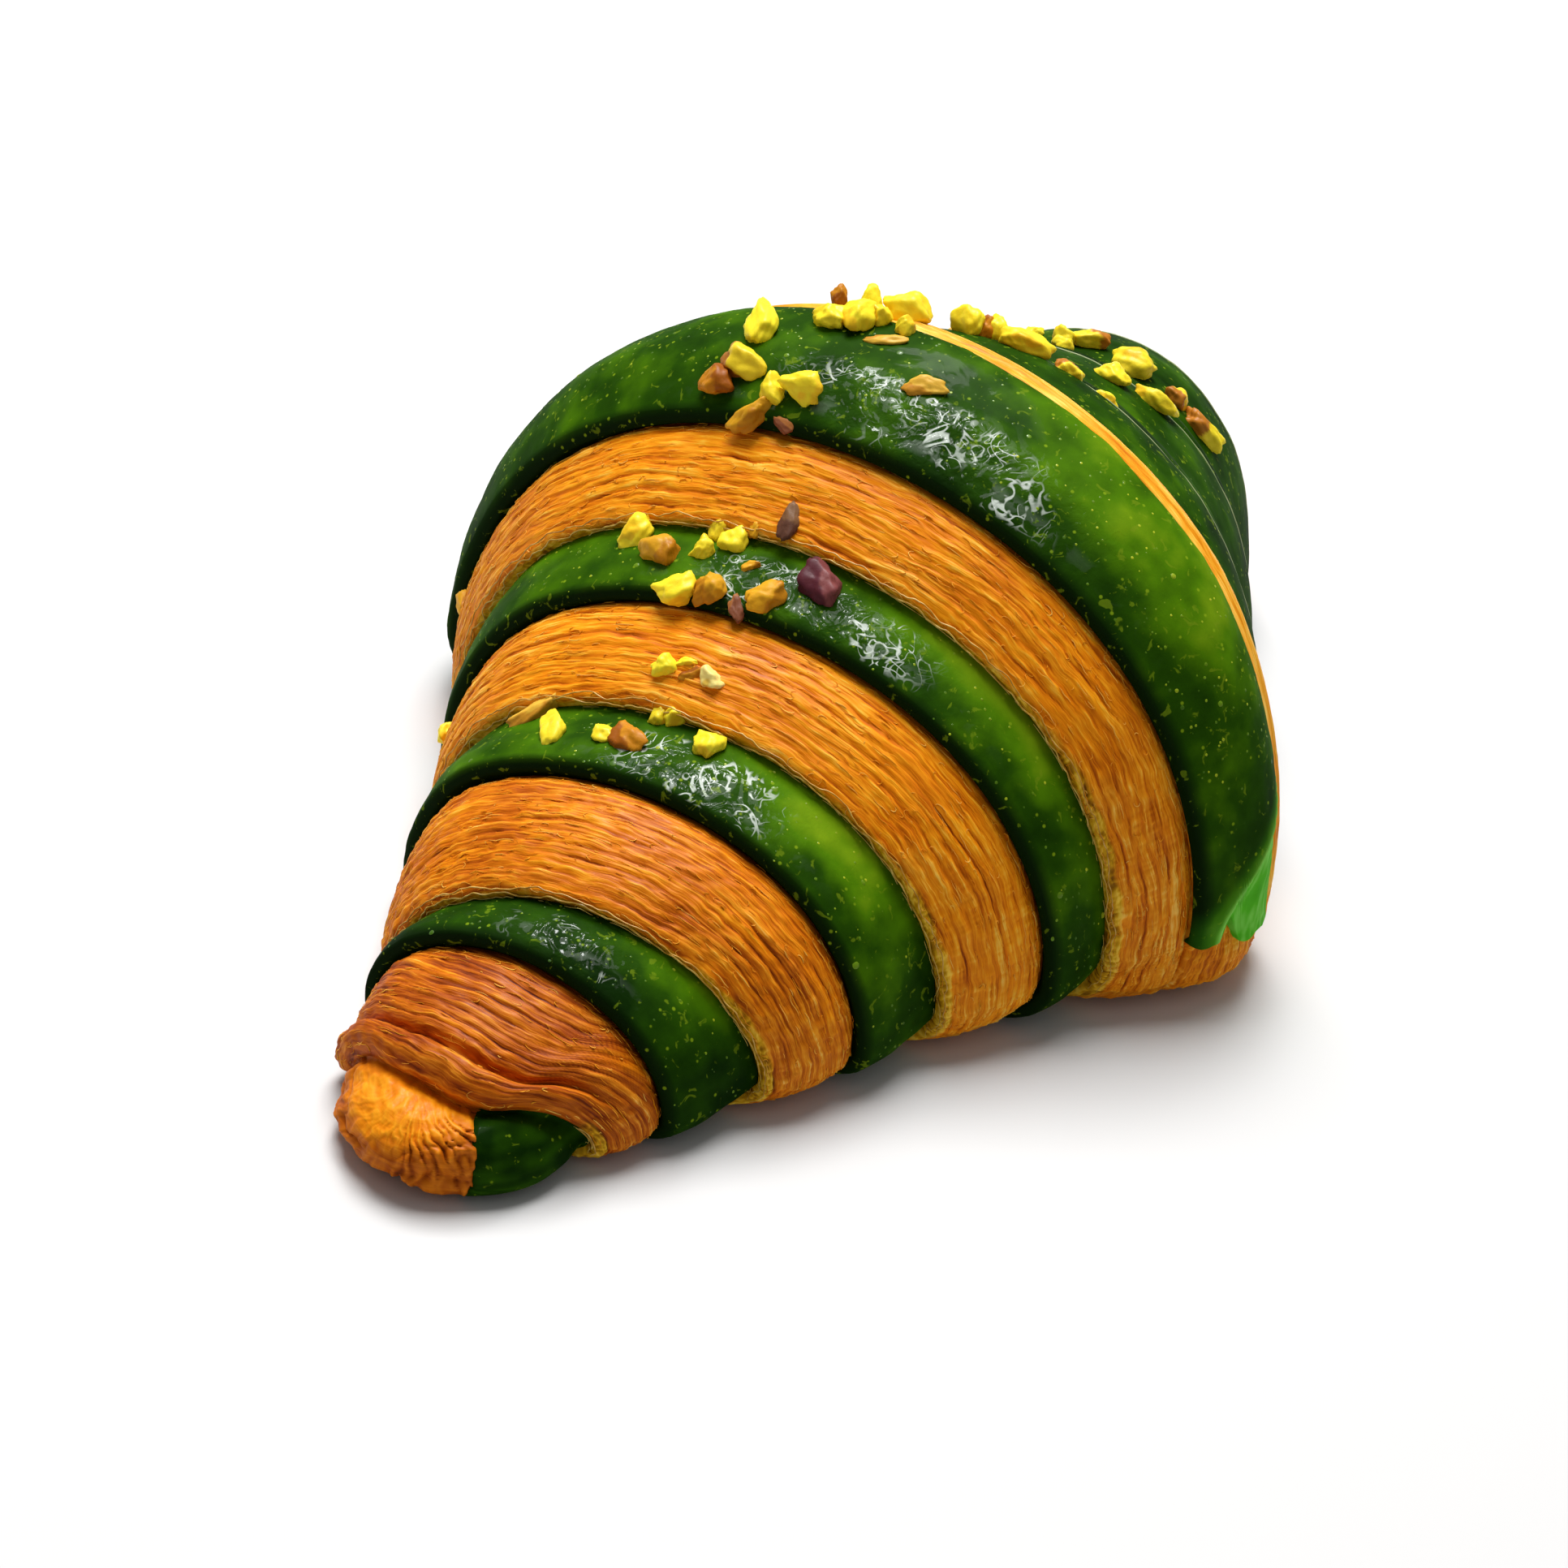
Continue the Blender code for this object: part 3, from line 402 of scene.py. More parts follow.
def noise(x, y, seed):
    """Smooth noise of about -1 to 1 over a plane."""
    x, y = np.broadcast_arrays(np.asarray(x, float), np.asarray(y, float))
    x, y = np.atleast_1d(x), np.atleast_1d(y)
    cell_x, cell_y = np.floor(x).astype(np.int64), np.floor(y).astype(np.int64)
    part_x, part_y = x - cell_x, y - cell_y

    def corner(step_x, step_y):
        code = (cell_x + step_x) * 374761393 + (cell_y + step_y) * 668265263 + seed * 974634777
        code = (code ^ (code >> 13)) * 1274126177
        code = (code ^ (code >> 16)) & 0xFFFFFF
        turn = code * (2 * math.pi / 0x1000000)
        return np.cos(turn) * (part_x - step_x) + np.sin(turn) * (part_y - step_y)

    blend_x = part_x ** 3 * (part_x * (part_x * 6 - 15) + 10)
    blend_y = part_y ** 3 * (part_y * (part_y * 6 - 15) + 10)
    low = corner(0, 0) * (1 - blend_x) + corner(1, 0) * blend_x
    high = corner(0, 1) * (1 - blend_x) + corner(1, 1) * blend_x
    return 1.5 * (low * (1 - blend_y) + high * blend_y)


def mask_colours(first, second, third, fourth=1.0):
    """Four masks as the red, green, blue and alpha of the look."""
    masks = (np.clip(mask, 0, 1) for mask in (first, second, third, fourth))
    return np.stack(np.broadcast_arrays(*masks), -1)


def ridged(x, y, seed):
    """Noise with thin crests: 1 on them, down to about 0 between."""
    return 1.0 - np.minimum(np.abs(noise(x, y, seed)) * 2.2, 1.0)


# ---------------------------------------------------------------- meshes

def add_object(name, data):
    made = bpy.data.objects.new(name, data)
    bpy.context.scene.collection.objects.link(made)
    return made


def add_piece(name, points, faces, material, look, uv=None):
    """A smooth mesh piece from points in millimetres in the hull's frame, riding on the root."""
    low = np.array(cad_low[:]) + INSET * MM
    high = np.array(cad_high[:]) - INSET * MM
    low[2] = cad_low[2]
    points = np.clip((np.asarray(points, float).reshape(-1, 3) - ORIGIN) * MM, low, high)
    mesh = bpy.data.meshes.new(name)
    mesh.from_pydata(points.tolist(), [], faces)
    mesh.polygons.foreach_set("use_smooth", np.ones(len(mesh.polygons), bool))
    if look.shape[1] == 3:
        look = np.concatenate([look, np.ones((len(look), 1))], 1)
    mesh.color_attributes.new("look", "FLOAT_COLOR", "POINT").data.foreach_set("color", look.ravel())
    if uv is not None:
        corners = np.zeros(len(mesh.loops), int)
        mesh.loops.foreach_get("vertex_index", corners)
        mesh.uv_layers.new(name="band").data.foreach_set("uv", uv[corners].ravel())
    mesh.materials.append(material)
    mesh.update()
    piece = add_object(name, mesh)
    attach(piece, "root")
    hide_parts(NODE)


def grid_faces(rows, columns, wrap):
    """Quads of a grid whose points are stored row by row; wrap joins the last row to the first."""
    row = np.arange(rows if wrap else rows - 1)
    after = (row + 1) % rows
    column = np.arange(columns - 1)
    a = row[:, None] * columns + column
    b = after[:, None] * columns + column
    return np.stack([a, a + 1, b + 1, b], -1).reshape(-1, 4).tolist()


def add_grid(name, points, look, uv, wrap, material):
    """A piece from a grid of points; the two uv values are grids too."""
    faces = grid_faces(*points.shape[:2], wrap)
    add_piece(name, points, faces, material, look.reshape(-1, 4), np.stack(uv, -1).reshape(-1, 2))


def add_tip(name, points, look, uv, material, pole, pole_look, column):
    """A ring of rows, closed at its first or last column by triangles round a pole."""
    rows, columns = points.shape[:2]
    at = np.arange(rows) * columns + column % columns
    after = np.roll(at, -1)
    first, second = (at, after) if column == 0 else (after, at)
    faces = grid_faces(rows, columns, True)
    faces += [[rows * columns, a, b] for a, b in zip(first.tolist(), second.tolist())]
    points = np.concatenate([points.reshape(-1, 3), pole[None]])
    look = np.concatenate([look.reshape(-1, 4), [pole_look]])
    uv = np.concatenate([np.stack(uv, -1).reshape(-1, 2), [[0.0, 0.0]]])
    add_piece(name, points, faces, material, look, uv)


class Batch:
    """Many small meshes, joined into one piece."""

    def __init__(self):
        self.points, self.faces, self.looks, self.count = [], [], [], 0

    def add(self, points, faces, look):
        self.points.append(points)
        self.faces += [[corner + self.count for corner in face] for face in faces]
        self.looks.append(look)
        self.count += len(points)

    def finish(self, name, material, slot):
        add_piece(name, np.concatenate(self.points), self.faces, material, np.concatenate(self.looks))


def crest_width(band):
    return float(edge_x(band + 1, CREST) - edge_x(band, CREST))


def band_width(band, angle):
    return np.abs(edge_x(band + 1, angle) - edge_x(band, angle))


def band_radius(band):
    """Half the body's width at the middle of a band."""
    return float(monotone(0.5 * (float(edge_x(band, CREST)) + float(edge_x(band + 1, CREST))), HALF_WIDTHS))


def top_angles(band, pitch, last=TOP_TO):
    """Evenly spaced angles over the finely meshed part."""
    rows = int(math.radians(TOP_TO - TOP_FROM) * band_radius(band) / pitch)
    return np.radians(np.linspace(TOP_FROM, last, rows))


def round_angles(band, pitch):
    """Angles of the mesh rows all round: fine over the top and sides, coarse under the base."""
    upper = top_angles(band, pitch)
    lower = np.linspace(TOP_TO, TOP_FROM + 360.0, max(24, len(upper) // 6) + 2)[1:-1]
    return np.concatenate([upper, np.radians(lower)])


# ---------------------------------------------------------------- dough

def layer_coordinates(band, share, angle):
    """Millimetres across the layers and along them, wandering a little."""
    along = angle * band_radius(band)
    across = share * band_width(band, angle)
    across += 0.40 * noise(across / 2.8 + band * 9, along / 9.0, 11)
    across += 0.13 * noise(across / 2.4, along / 2.3 + band * 5, 12)
    across += 0.04 * noise(across / 1.2, along / 0.9 + band * 5, 10)
    return across, along


def layer_uv(band, share, angle):
    """The two grids of band coordinates that the crust's grain follows."""
    return [part * UV_SCALE for part in layer_coordinates(band, share, angle)]


def browning(band, across, along, layer, degrees, low_front):
    """How browned the dough is: most near the small tip, and in whole layers."""
    toast = 0.74 + 0.7 * noise(layer * 2.3 + 5, along / 13.0, 21)
    bake = 0.10 + 1.35 * toast * smooth_step(-band, -5.0, 0.0) + (0.28 if band > 6 else 0.08) * low_front
    bake = bake + 0.2 * noise(across / 5, along / 9, 22)
    bake = bake + 0.25 * noise(layer * 7.7, along / 6.0, 23)
    return bake + 0.35 * smooth_step(degrees, 115.0, 170.0)


def olive_strip(band, share, angle, along, degrees):
    """1 on the olive edge of thin layers where a dough band starts."""
    if not 1 <= band < MIDDLE_BAND:
        return 0.0 * degrees
    reach = STRIP_WIDTH + 0.20 * noise(along / 3.0, band * 2.0, 24)
    reach = reach + STRIP_WIDER * smooth_step(degrees, 58.0, 26.0)
    strip = smooth_step(share * band_width(band, angle), reach, reach - 0.30)
    return strip * (smooth_step(degrees, 26.0, 14.0) if band == 1 else 1.0)


def dough_detail(band, share, angle):
    """Extra height and the look (tone, with painted shade and highlight, browning, paleness, not olive) of
    laminated dough.
    """
    across, along = layer_coordinates(band, share, angle)
    degrees = wrap_degrees(angle)
    level = across / LAYER + 0.55 * noise(along / 23.0, band * 3.3 + 0.5, 13)
    layer = np.floor(level)
    part = level - layer
    stand = 0.5 + 0.6 * noise(layer * 5.7 + band, along / 10.0, 14)
    ridge = 1.0 - np.abs(2 * part - 1) ** 2.0
    opening = smooth_step(noise(np.round(level) * 3.7 + band, along / 7.0, 15), -0.05, 0.55)
    slit = opening * np.exp(-(np.minimum(part, 1 - part) / 0.08) ** 2)
    strands = ridged(across / 0.50, along / 16.0, 16)
    threads = ridged(across / 0.26 + 7, along / 9.0, 17)
    crimps = noise(across / 0.34, along / 1.6, 18)
    curls = smooth_step(crimps, 0.25, 0.6)
    low_front = smooth_step(degrees, 48.0, 12.0) if band <= MIDDLE_BAND else 0.0 * degrees
    rungs = ridged(layer * 4.1 + 0.5, along / 0.62, 19) ** 2 * ridge
    pillow = noise(layer * 6.3 + band, along / 1.5, 27) * ridge
    chips = smooth_step(noise(across / 1.5, along / 5.5, 20), 0.2, 0.5)
    near_tip = band <= 3
    height = (0.15 * stand * ridge + 0.09 * strands + 0.09 * threads - 0.12 * slit + 0.04 * crimps
              + 0.12 * low_front * rungs + 0.06 * chips + (0.16 if near_tip else 0.06) * pillow)
    # The tone follows the relief: painted shade in the slits and between layers, paler ridge tops as a
    # painted highlight, over the grain's own tone. It is also darker low on the front and on the bands by the
    # tip.
    tone = (0.34 + 0.18 * stand * ridge + 0.17 * strands + 0.17 * threads - 0.42 * slit + 0.05 * crimps
            + 0.06 * curls + 0.20 * low_front * rungs + 0.05 * low_front
            + (0.10 if near_tip else 0.04) * pillow - 0.07 * smooth_step(degrees, 62.0, 30.0)
            - 0.19 * smooth_step(-band, -5.0, -1.0))
    bake = browning(band, across, along, layer, degrees, low_front)
    pale = (0.0 if near_tip else 0.06) * chips + 0.08 * noise(across / 3, along / 6, 26)
    strip = olive_strip(band, share, angle, along, degrees)
    lattice = ridged(across / 0.5, along / 0.9, 25)
    height = height + strip * (0.16 * lattice - 0.10)
    tone = tone + strip * (0.55 * lattice - 0.25)
    if band == MIDDLE_BAND + 1:
        height = 0.35 * height
        tone = 0.62 + 0.30 * (strands - 0.5) + 0.16 * (threads - 0.5)
        bake, pale = 0.0 * tone, 0.45 + 0.2 * strands
    return height, mask_colours(tone, bake, pale, 1.0 - strip)


def dough_band(band, pitch, round_pitch, material):
    """One dough ring that runs on a little under its neighbours."""
    width = crest_width(band)
    lap, lift = (FAR_LAP, FAR_LIFT) if band == MIDDLE_BAND + 1 else (0.0, 0.0)
    even = np.linspace(-lap / width, 1.0, int(width / pitch))
    shares = np.concatenate([[-(0.5 + lap) / width], even, [1 + 0.7 / width]])
    share, angle = np.meshgrid(shares, round_angles(band, round_pitch))
    inside = np.clip(share, 0.0, 1.0)
    height, look = dough_detail(band, inside, angle)
    fade = smooth_step(inside, 0.0, 0.05) * smooth_step(1 - inside, 0.0, 0.03)
    tuck = np.where((share < -lap / width - 1e-6) | (share > 1), -0.7 - lift, 0.0)
    points = surface(band, share, angle, height * fade - 0.12 + tuck + lift)
    # Painted shade: the tone darkens where the dough runs under the next band's rim.
    look[..., 0] *= 0.4 + 0.6 * smooth_step(1 - inside, 0.0, 0.05)
    add_grid("dough_%02d" % band, points, look, layer_uv(band, share, angle), True, material)


def under_tail(material):
    """Dough under the middle skin: it shows at the tray in front, below and behind."""
    behind, ahead = UNDER_ROWS
    back = np.linspace(TAIL_BACK - UNDER_LAP, 270.0, behind)[:-1] - 360.0
    angles = np.radians(np.concatenate([back, np.linspace(-90.0, UNDER_TOP, ahead)]))
    width = crest_width(MIDDLE_BAND)
    share, angle = np.meshgrid(np.linspace(-0.05, 1.05, int(width / UNDER_PITCH)), angles)
    inside = np.clip(share, 0.0, 1.0)
    height, look = dough_detail(MIDDLE_BAND, inside, angle)
    points = surface(MIDDLE_BAND, inside, angle, height - TAIL_STEP + 0.3)
    points[..., 0] += (share - inside) * width
    uv = layer_uv(MIDDLE_BAND, share, angle)
    add_grid("dough_under_tail", points, look, uv, False, material)


def fan_relief(points):
    """Height, tone (with painted shade in the pleats' grooves) and browning of the tip's pleats, which spread
    from under the lip.
    """
    away = points - np.array(FAN_CENTRE)
    right, down = away @ np.array(FAN_RIGHT), away @ np.array(FAN_DOWN)
    reach = np.linalg.norm(away, axis=-1)
    turn = np.degrees(np.arctan2(right, down))
    waver = 8.0 * noise(reach / 3.0, turn / 30.0, 31)
    turn = turn + waver + 3.0 * noise(reach / 0.9, turn / 9.0, 30)
    pleated = smooth_step(turn, -50.0, -8.0) * smooth_step(reach, 2.0, 6.5)
    fold = 1.0 - np.abs(2 * ((turn / FAN_PLEAT) % 1.0) - 1) ** 2.2
    bead = np.abs(np.sin(reach * 1.9 + 2.0 * noise(turn / 12, reach / 2, 32)))
    low = smooth_step(reach, 5.0, 7.5)
    veins = ridged(right / 0.9 + 3, down / 1.3, 38)
    blister = noise(right / 0.9 + 5, down / 0.9, 33)
    fine = ridged(turn / 4.0, reach / 1.4, 34)
    uneven = 0.6 + 0.7 * noise(np.floor(turn / FAN_PLEAT) * 3.1, reach / 2.5, 39)
    plain = 0.12 * (1 - pleated) * noise(right / 2.2, down / 1.8, 35)
    height = (pleated * uneven * (0.42 * fold - 0.30) + 0.34 * low * (bead - 0.5) + 0.05 * veins
              + 0.10 * blister + 0.06 * fine + plain)
    # The tone follows the pleats: painted shade in their grooves. It is also darker further from where they
    # gather.
    tone = (0.52 + pleated * uneven * (0.34 * fold - 0.30) + 0.10 * blister + 0.10 * fine
            + 0.16 * low * (bead - 0.6) + 0.14 * veins - 0.22 * low)
    bake = 0.12 + 0.74 * low + 0.2 * pleated * (1 - fold) + 0.25 * noise(right / 2.5, down / 2.5, 36)
    return height, tone, bake


def near_knob(material):
    """The curled tip: a smooth bulb that pleats towards the tray, under the lip."""
    rows, columns = KNOB_MESH
    shares = np.concatenate([np.linspace(0.03, 1.0, columns), [1.06]])
    share, angle = np.meshgrid(shares, full_turn(rows))
    degrees = wrap_degrees(angle)
    inside = np.clip(share, 0.0, 1.0)
    smooth = surface(0, inside, angle)
    height, tone, bake = fan_relief(smooth)
    under = smooth_step(smooth[..., 0] - monotone(degrees, PATCH_EDGE), -0.1, 0.5)
    under = under * smooth_step(degrees, 68.0, 64.0) * smooth_step(degrees, -62.0, -56.0)
    behind = 0.9 * smooth_step(share, 0.75, 0.97) * smooth_step(degrees, 88.0, 125.0)
    height = (height * (1 - under) - 0.35 * under + behind) * smooth_step(inside, 0.0, 0.15)
    points = surface(0, share, angle, np.where(share > 1, height - 0.6, height))
    # Painted shadow: the tone darkens towards the lip, under its overhang.
    tone = tone * (0.45 + 0.55 * smooth_step(1 - share, 0.02, 0.16))
    uv = (smooth[..., 2] * UV_SCALE, (smooth[..., 0] + smooth[..., 1]) * UV_SCALE)
    pole = surface(0, np.array(0.0), np.array(0.0))
    add_tip("dough_tip_near", points, mask_colours(tone, bake, 0.1), uv, material, pole, KNOB_POLE_LOOK, 0)


def far_tip(material):
    """The plain far tip, with folds that gather near its end and fade out at it."""
    rows, columns = FAR_TIP_MESH
    shares = np.concatenate([[-0.04], np.linspace(0.0, 0.97, columns)])
    share, angle = np.meshgrid(shares, full_turn(rows))
    inside = np.clip(share, 0.0, 1.0)
    layers, look = dough_detail(LAST_BAND, inside * 0.8, angle)
    smooth = surface(LAST_BAND, inside, angle)
    side, rise = smooth[..., 1], smooth[..., 2]
    fan = angle * 11 + 5.0 * noise(side / 5.0, rise / 5.0, 36)
    fan = fan + 2.0 * noise(side / 1.6, rise / 1.6, 40)
    folded = smooth_step(inside, 0.40, 0.75)
    gather = folded * (1 - 0.8 * smooth_step(inside, 0.80, 0.95))
    gather = gather * (0.7 + 0.5 * noise(side / 3.0 + 4, rise / 3.0, 41))
    deep = np.abs(np.sin(fan / 2)) ** 0.6
    blister = noise(side / 0.9, rise / 0.9, 42)
    height = layers * (1 - folded) + gather * (0.6 * deep - 0.4) + folded * 0.12 * blister
    points = surface(LAST_BAND, share, angle, np.where(share < 0, -0.8, height) - 0.1)
    # The tone follows the folds: painted shade in their grooves.
    folds = folded * (0.50 + 0.14 * blister) + gather * (0.42 * deep - 0.30)
    look[..., 0] = look[..., 0] * (1 - folded) + folds
    uv = (rise * UV_SCALE, (smooth[..., 0] + side) * UV_SCALE)
    pole = hull(np.array(FAR_END), np.array(0.0))
    add_tip("dough_tip_far", points, look, uv, material, pole, FAR_POLE_LOOK, -1)


# ---------------------------------------------------------------- green skin

def skin_detail(band, share, angle):
    """Extra height and look (light green with painted light, sheen and shade; wrinkles; rim darkened as
    painted shade) of the green skin.
    """
    width = band_width(band, angle)
    across, along = share * width, angle * band_radius(band)
    degrees = wrap_degrees(angle)
    near_side = band <= MIDDLE_BAND
    slow = noise(across / 5 + band * 3, along / 7, 41)
    wrinkle = noise(across / 1.5 + band, along / 2.1, 42)
    pucker = noise(across / 0.7, along / 1.0 + band, 43)
    rim_side = (share if near_side else 1 - share) * width
    gloss_and_highlight_end = MIDDLE_GLOSS_AND_HIGHLIGHT_END if band == MIDDLE_BAND else GLOSS_AND_HIGHLIGHT_END
    # The glossy zone: it gets more coat and wrinkles, and the painted highlight lines.
    zone = bump_at(degrees, *GLOSS_AND_HIGHLIGHT_ANGLES) * smooth_step(across, 0.5, 1.4) * smooth_step(share, *gloss_and_highlight_end)
    zone = zone * near_side
    height = 0.10 * slow + (0.04 + 0.06 * zone) * wrinkle + (0.015 + 0.05 * zone) * pucker
    # Painted light: a lighter stretch round 52 degrees on each band, growing inwards from the rim.
    inward = smooth_step(rim_side, 1.5, min(6.0, 0.7 * float(np.max(width))))
    bright = (PAINTED_LIGHT_NEAR if near_side else PAINTED_LIGHT_FAR) * bump_at(degrees, *PAINTED_LIGHT_ANGLES) * inward
    light = 0.31 + SKIN_TINTS[band] + bright + 0.22 * slow + 0.10 * wrinkle
    # Painted shade darkens the front near the bottom; a painted sheen lightens the side round 122 degrees.
    light = light - 0.12 * smooth_step(degrees, 18.0, -5.0) + 0.14 * bump_at(degrees, 122.0, 24.0)
    return height, mask_colours(light, zone, smooth_step(rim_side, RIM_REACH, 0.2))


def skin_columns(band, depths, slides):
    """Columns across a skin band, close together at its rolled rim, with two more at each side.

    Also gives how deep those outer columns lie and how far they slide along X.
    """
    width = crest_width(band)
    even = np.linspace(0.0, 1.0, int(width / SKIN_PITCH))
    rim = np.linspace(0.0, min(0.25, 1.6 / width), 9)[1:-1]
    if band > MIDDLE_BAND:
        rim = 1 - rim
    shares = np.unique(np.round(np.concatenate([even, rim]), 5))
    shares = np.concatenate([[0.0, 0.0], shares, [1.0, 1.0]])
    depth, slide = np.zeros((2, len(shares)))
    for line, ends in ((depth, depths), (slide, slides)):
        line[:2] = ends[:2]
        line[-2:] = ends[2:]
    return shares, depth, slide


def skin_band(band, material):
    """One green ring with its rim rolled under."""
    side = 1.0 if band <= MIDDLE_BAND else -1.0
    slides = (0.5 * side, 0.15 * side, 0.15 * side, 0.5 * side)
    shares, depth, slide = skin_columns(band, (-1.0, -0.45, -0.4, -0.9), slides)
    share, angle = np.meshgrid(shares, round_angles(band, SKIN_ROUND_PITCH))
    height, look = skin_detail(band, share, angle)
    points = surface(band, share, angle, height + depth)
    points[..., 0] += slide
    uv = (share * crest_width(band) * UV_SCALE, angle * band_radius(band) * UV_SCALE)
    add_grid("skin_%02d" % band, points, look, uv, True, material)


def middle_skin(material):
    """The widest green band, whose skin ends in a tail low on the front."""
    band, radius = MIDDLE_BAND, float(monotone(0.0, HALF_WIDTHS))
    shares, depth, slide = skin_columns(band, (-1.0, -0.45, -0.5, -1.0), (0.5, 0.15, -0.05, -0.3))
    rows = int(math.radians(TAIL_BACK) * radius / SKIN_ROUND_PITCH)
    steps = np.concatenate([[0.0, 0.0], np.linspace(0.0, 1.0, rows) ** 1.12, [1.0]])
    curl = np.concatenate([[-2.0, -1.0], np.zeros(rows), [-1.6]])
    share, step = np.meshgrid(shares, steps)
    tail = monotone(band_x(band, share, np.zeros_like(share)), TAIL_END)
    degrees = tail + step * (TAIL_BACK - tail)
    angle = np.radians(degrees)
    height, look = skin_detail(band, share, angle)
    x = band_x(band, share, angle)
    roll = smooth_step(np.radians(degrees - tail) * radius, 0.0, 0.9)
    back_roll = smooth_step(np.radians(TAIL_BACK - degrees) * radius, 0.0, 1.5)
    from_fold = x - monotone(degrees, TAIL_FOLD)
    fold = bump_at(from_fold, 0.0, 0.30) * smooth_step(degrees, 22.0, 15.0)
    beyond = smooth_step(from_fold, -0.1, 0.5) * smooth_step(degrees, 22.0, 17.0)
    rising = smooth_step(from_fold, -3.5, -0.2) * smooth_step(degrees, 26.0, 12.0)
    finger = smooth_step(from_fold, 0.0, -1.0) * smooth_step(degrees, 24.0, 6.0)
    height = height - 0.9 * (1 - roll) - 0.9 * (1 - back_roll) + 0.22 * fold - 0.25 * beyond + 0.25 * finger
    height = height + 0.12 * beyond * noise(x / 1.3, degrees / 4.0, 47)
    points = surface(band, share, angle, height + depth + curl[:, None])
    points[..., 0] += slide
    streak = ridged(from_fold / 1.1, degrees / 9.0, 48)
    look[..., 0] = np.clip(look[..., 0] + 0.35 * rising + 0.5 * fold + 0.35 * beyond * (streak - 0.3), 0, 1)
    look[..., 2] = np.clip(look[..., 2] * (1 - beyond), 0, 1)
    look[..., 3] = 1.0 - np.clip(0.95 * beyond + 0.6 * fold + 0.25 * rising, 0, 1)
    uv = (share * crest_width(band) * UV_SCALE, angle * radius * UV_SCALE)
    add_grid("skin_middle", points, look, uv, False, material)


def knob_patch(material):
    """The green patch on the near tip, under the lip."""
    rows, columns = PATCH_MESH
    steps = np.concatenate([[0.0, 0.0], np.linspace(0.0, 1.0, columns)])
    lift = np.concatenate([[-0.7, -0.3], np.zeros(columns)])
    angles = np.radians(np.linspace(PATCH_EDGE[0][0], PATCH_EDGE[-1][0], rows))
    step, angle = np.meshgrid(steps, angles)
    degrees = wrap_degrees(angle)
    edge = monotone(degrees, PATCH_EDGE) + 0.15 * noise(degrees / 9.0, 0.5, 46)
    stop = edge_x(1, angle)
    x = edge + (stop + 0.6 - edge) * step
    share = np.clip((x - NEAR_END) / (stop - NEAR_END), 0.0, 1.08) ** (1 / TIP_CROWDING)
    side = smooth_step(degrees, 67.5, 65.0) * smooth_step(degrees, -62.0, -58.0)
    rise = PATCH_RISE * smooth_step(step * (stop - edge), 0.0, 0.35) * side
    height = rise + lift + 0.05 * noise(x / 1.6, angle * 8, 44) - 0.25 * (1 - side)
    light = 0.16 + 0.25 * noise(x / 2, angle * 6, 45)
    look = mask_colours(light, 0.0, 0.2 * (1 - rise / PATCH_RISE))
    uv = (x * UV_SCALE, angle * 1.2)
    add_grid("skin_patch", surface(0, share, angle, height), look, uv, False, material)


# ---------------------------------------------------------------- threads, fibres, blisters

def ring_points(first, second, sides):
    """A circle of radius 1 in the plane of two directions."""
    turns = full_turn(sides)[:, None]
    return np.cos(turns) * first + np.sin(turns) * second


def tube(path, radius, sides):
    """Points and faces of a thin tapering tube along a path."""
    heading = unit(np.gradient(path, axis=0))
    side = unit(np.cross(heading, [0.2, 0.1, 1.0]))
    taper = np.sin(np.linspace(0.12, math.pi - 0.12, len(path))) ** 0.5
    ring = ring_points(side[:, None, :], np.cross(side, heading)[:, None, :], sides)
    points = path[:, None, :] + ring * (radius * taper)[:, None, None]
    return points.reshape(-1, 3), ring_faces(len(path), sides)


def ring_faces(rows, sides):
    """Quads between rings of points."""
    faces = []
    for row in range(rows - 1):
        for k in range(sides):
            low, after = row * sides, (k + 1) % sides
            faces.append([low + k, low + after, low + sides + after, low + sides + k])
    return faces


def edge_threads(material):
    """The crinkled double edge of thin layers where dough lies over the green skin."""
    batch = Batch()
    for band in NEAR_DOUGH:
        angles = top_angles(band, THREAD_PITCH, LIP_THREADS_TO if band == 1 else TOP_TO)
        along = angles * band_radius(band)
        for row, (offset, lift, thick, shade) in enumerate(EDGE_THREADS):
            wave = 0.20 * noise(along / 2.4, band * 7.1 + row * 3, 51)
            wave = wave + 0.05 * noise(along / 0.8, band * 3.1 + row, 52)
            hop = 0.08 * noise(along / 1.7, band + row * 5.3, 53)
            share = np.clip((offset + 0.3 + wave) / crest_width(band), 0.0, 1.0)
            path = surface(band, share, angles, lift + hop - 0.1)
            path[:, 0] -= 0.25
            tone = shade + 0.4 * np.repeat(noise(along / 0.9, row * 2.2, 54), THREAD_SIDES)
            batch.add(*tube(path, thick, THREAD_SIDES), mask_colours(tone, 0.9 - 0.25 * row, 0.0))
    batch.finish("edge_threads", material, "golden_crust")


def crease_lines(material):
    """Thin pale lines along the crests of the far folds: tubes whose pale colour is a painted highlight on
    each crest.
    """
    batch = Batch()
    for band, share in CREASES:
        angles = top_angles(band, CREASE_PITCH)
        along = angles * band_radius(band)
        share_line = share + 0.02 * noise(along / 6.0, band * 2.0, 55)
        height = skin_detail(band, share_line, angles)[0]
        path = surface(band, share_line, angles, height + 0.03)
        # Painted highlight: the tubes are pale along each crest.
        tone = 0.86 + 0.2 * np.repeat(noise(along / 3.0, band * 1.1, 56), THREAD_SIDES)
        batch.add(*tube(path, CREASE_RADIUS, THREAD_SIDES), mask_colours(tone, 0.0, 0.0))
    batch.finish("crease_lines", material, "green_skin")


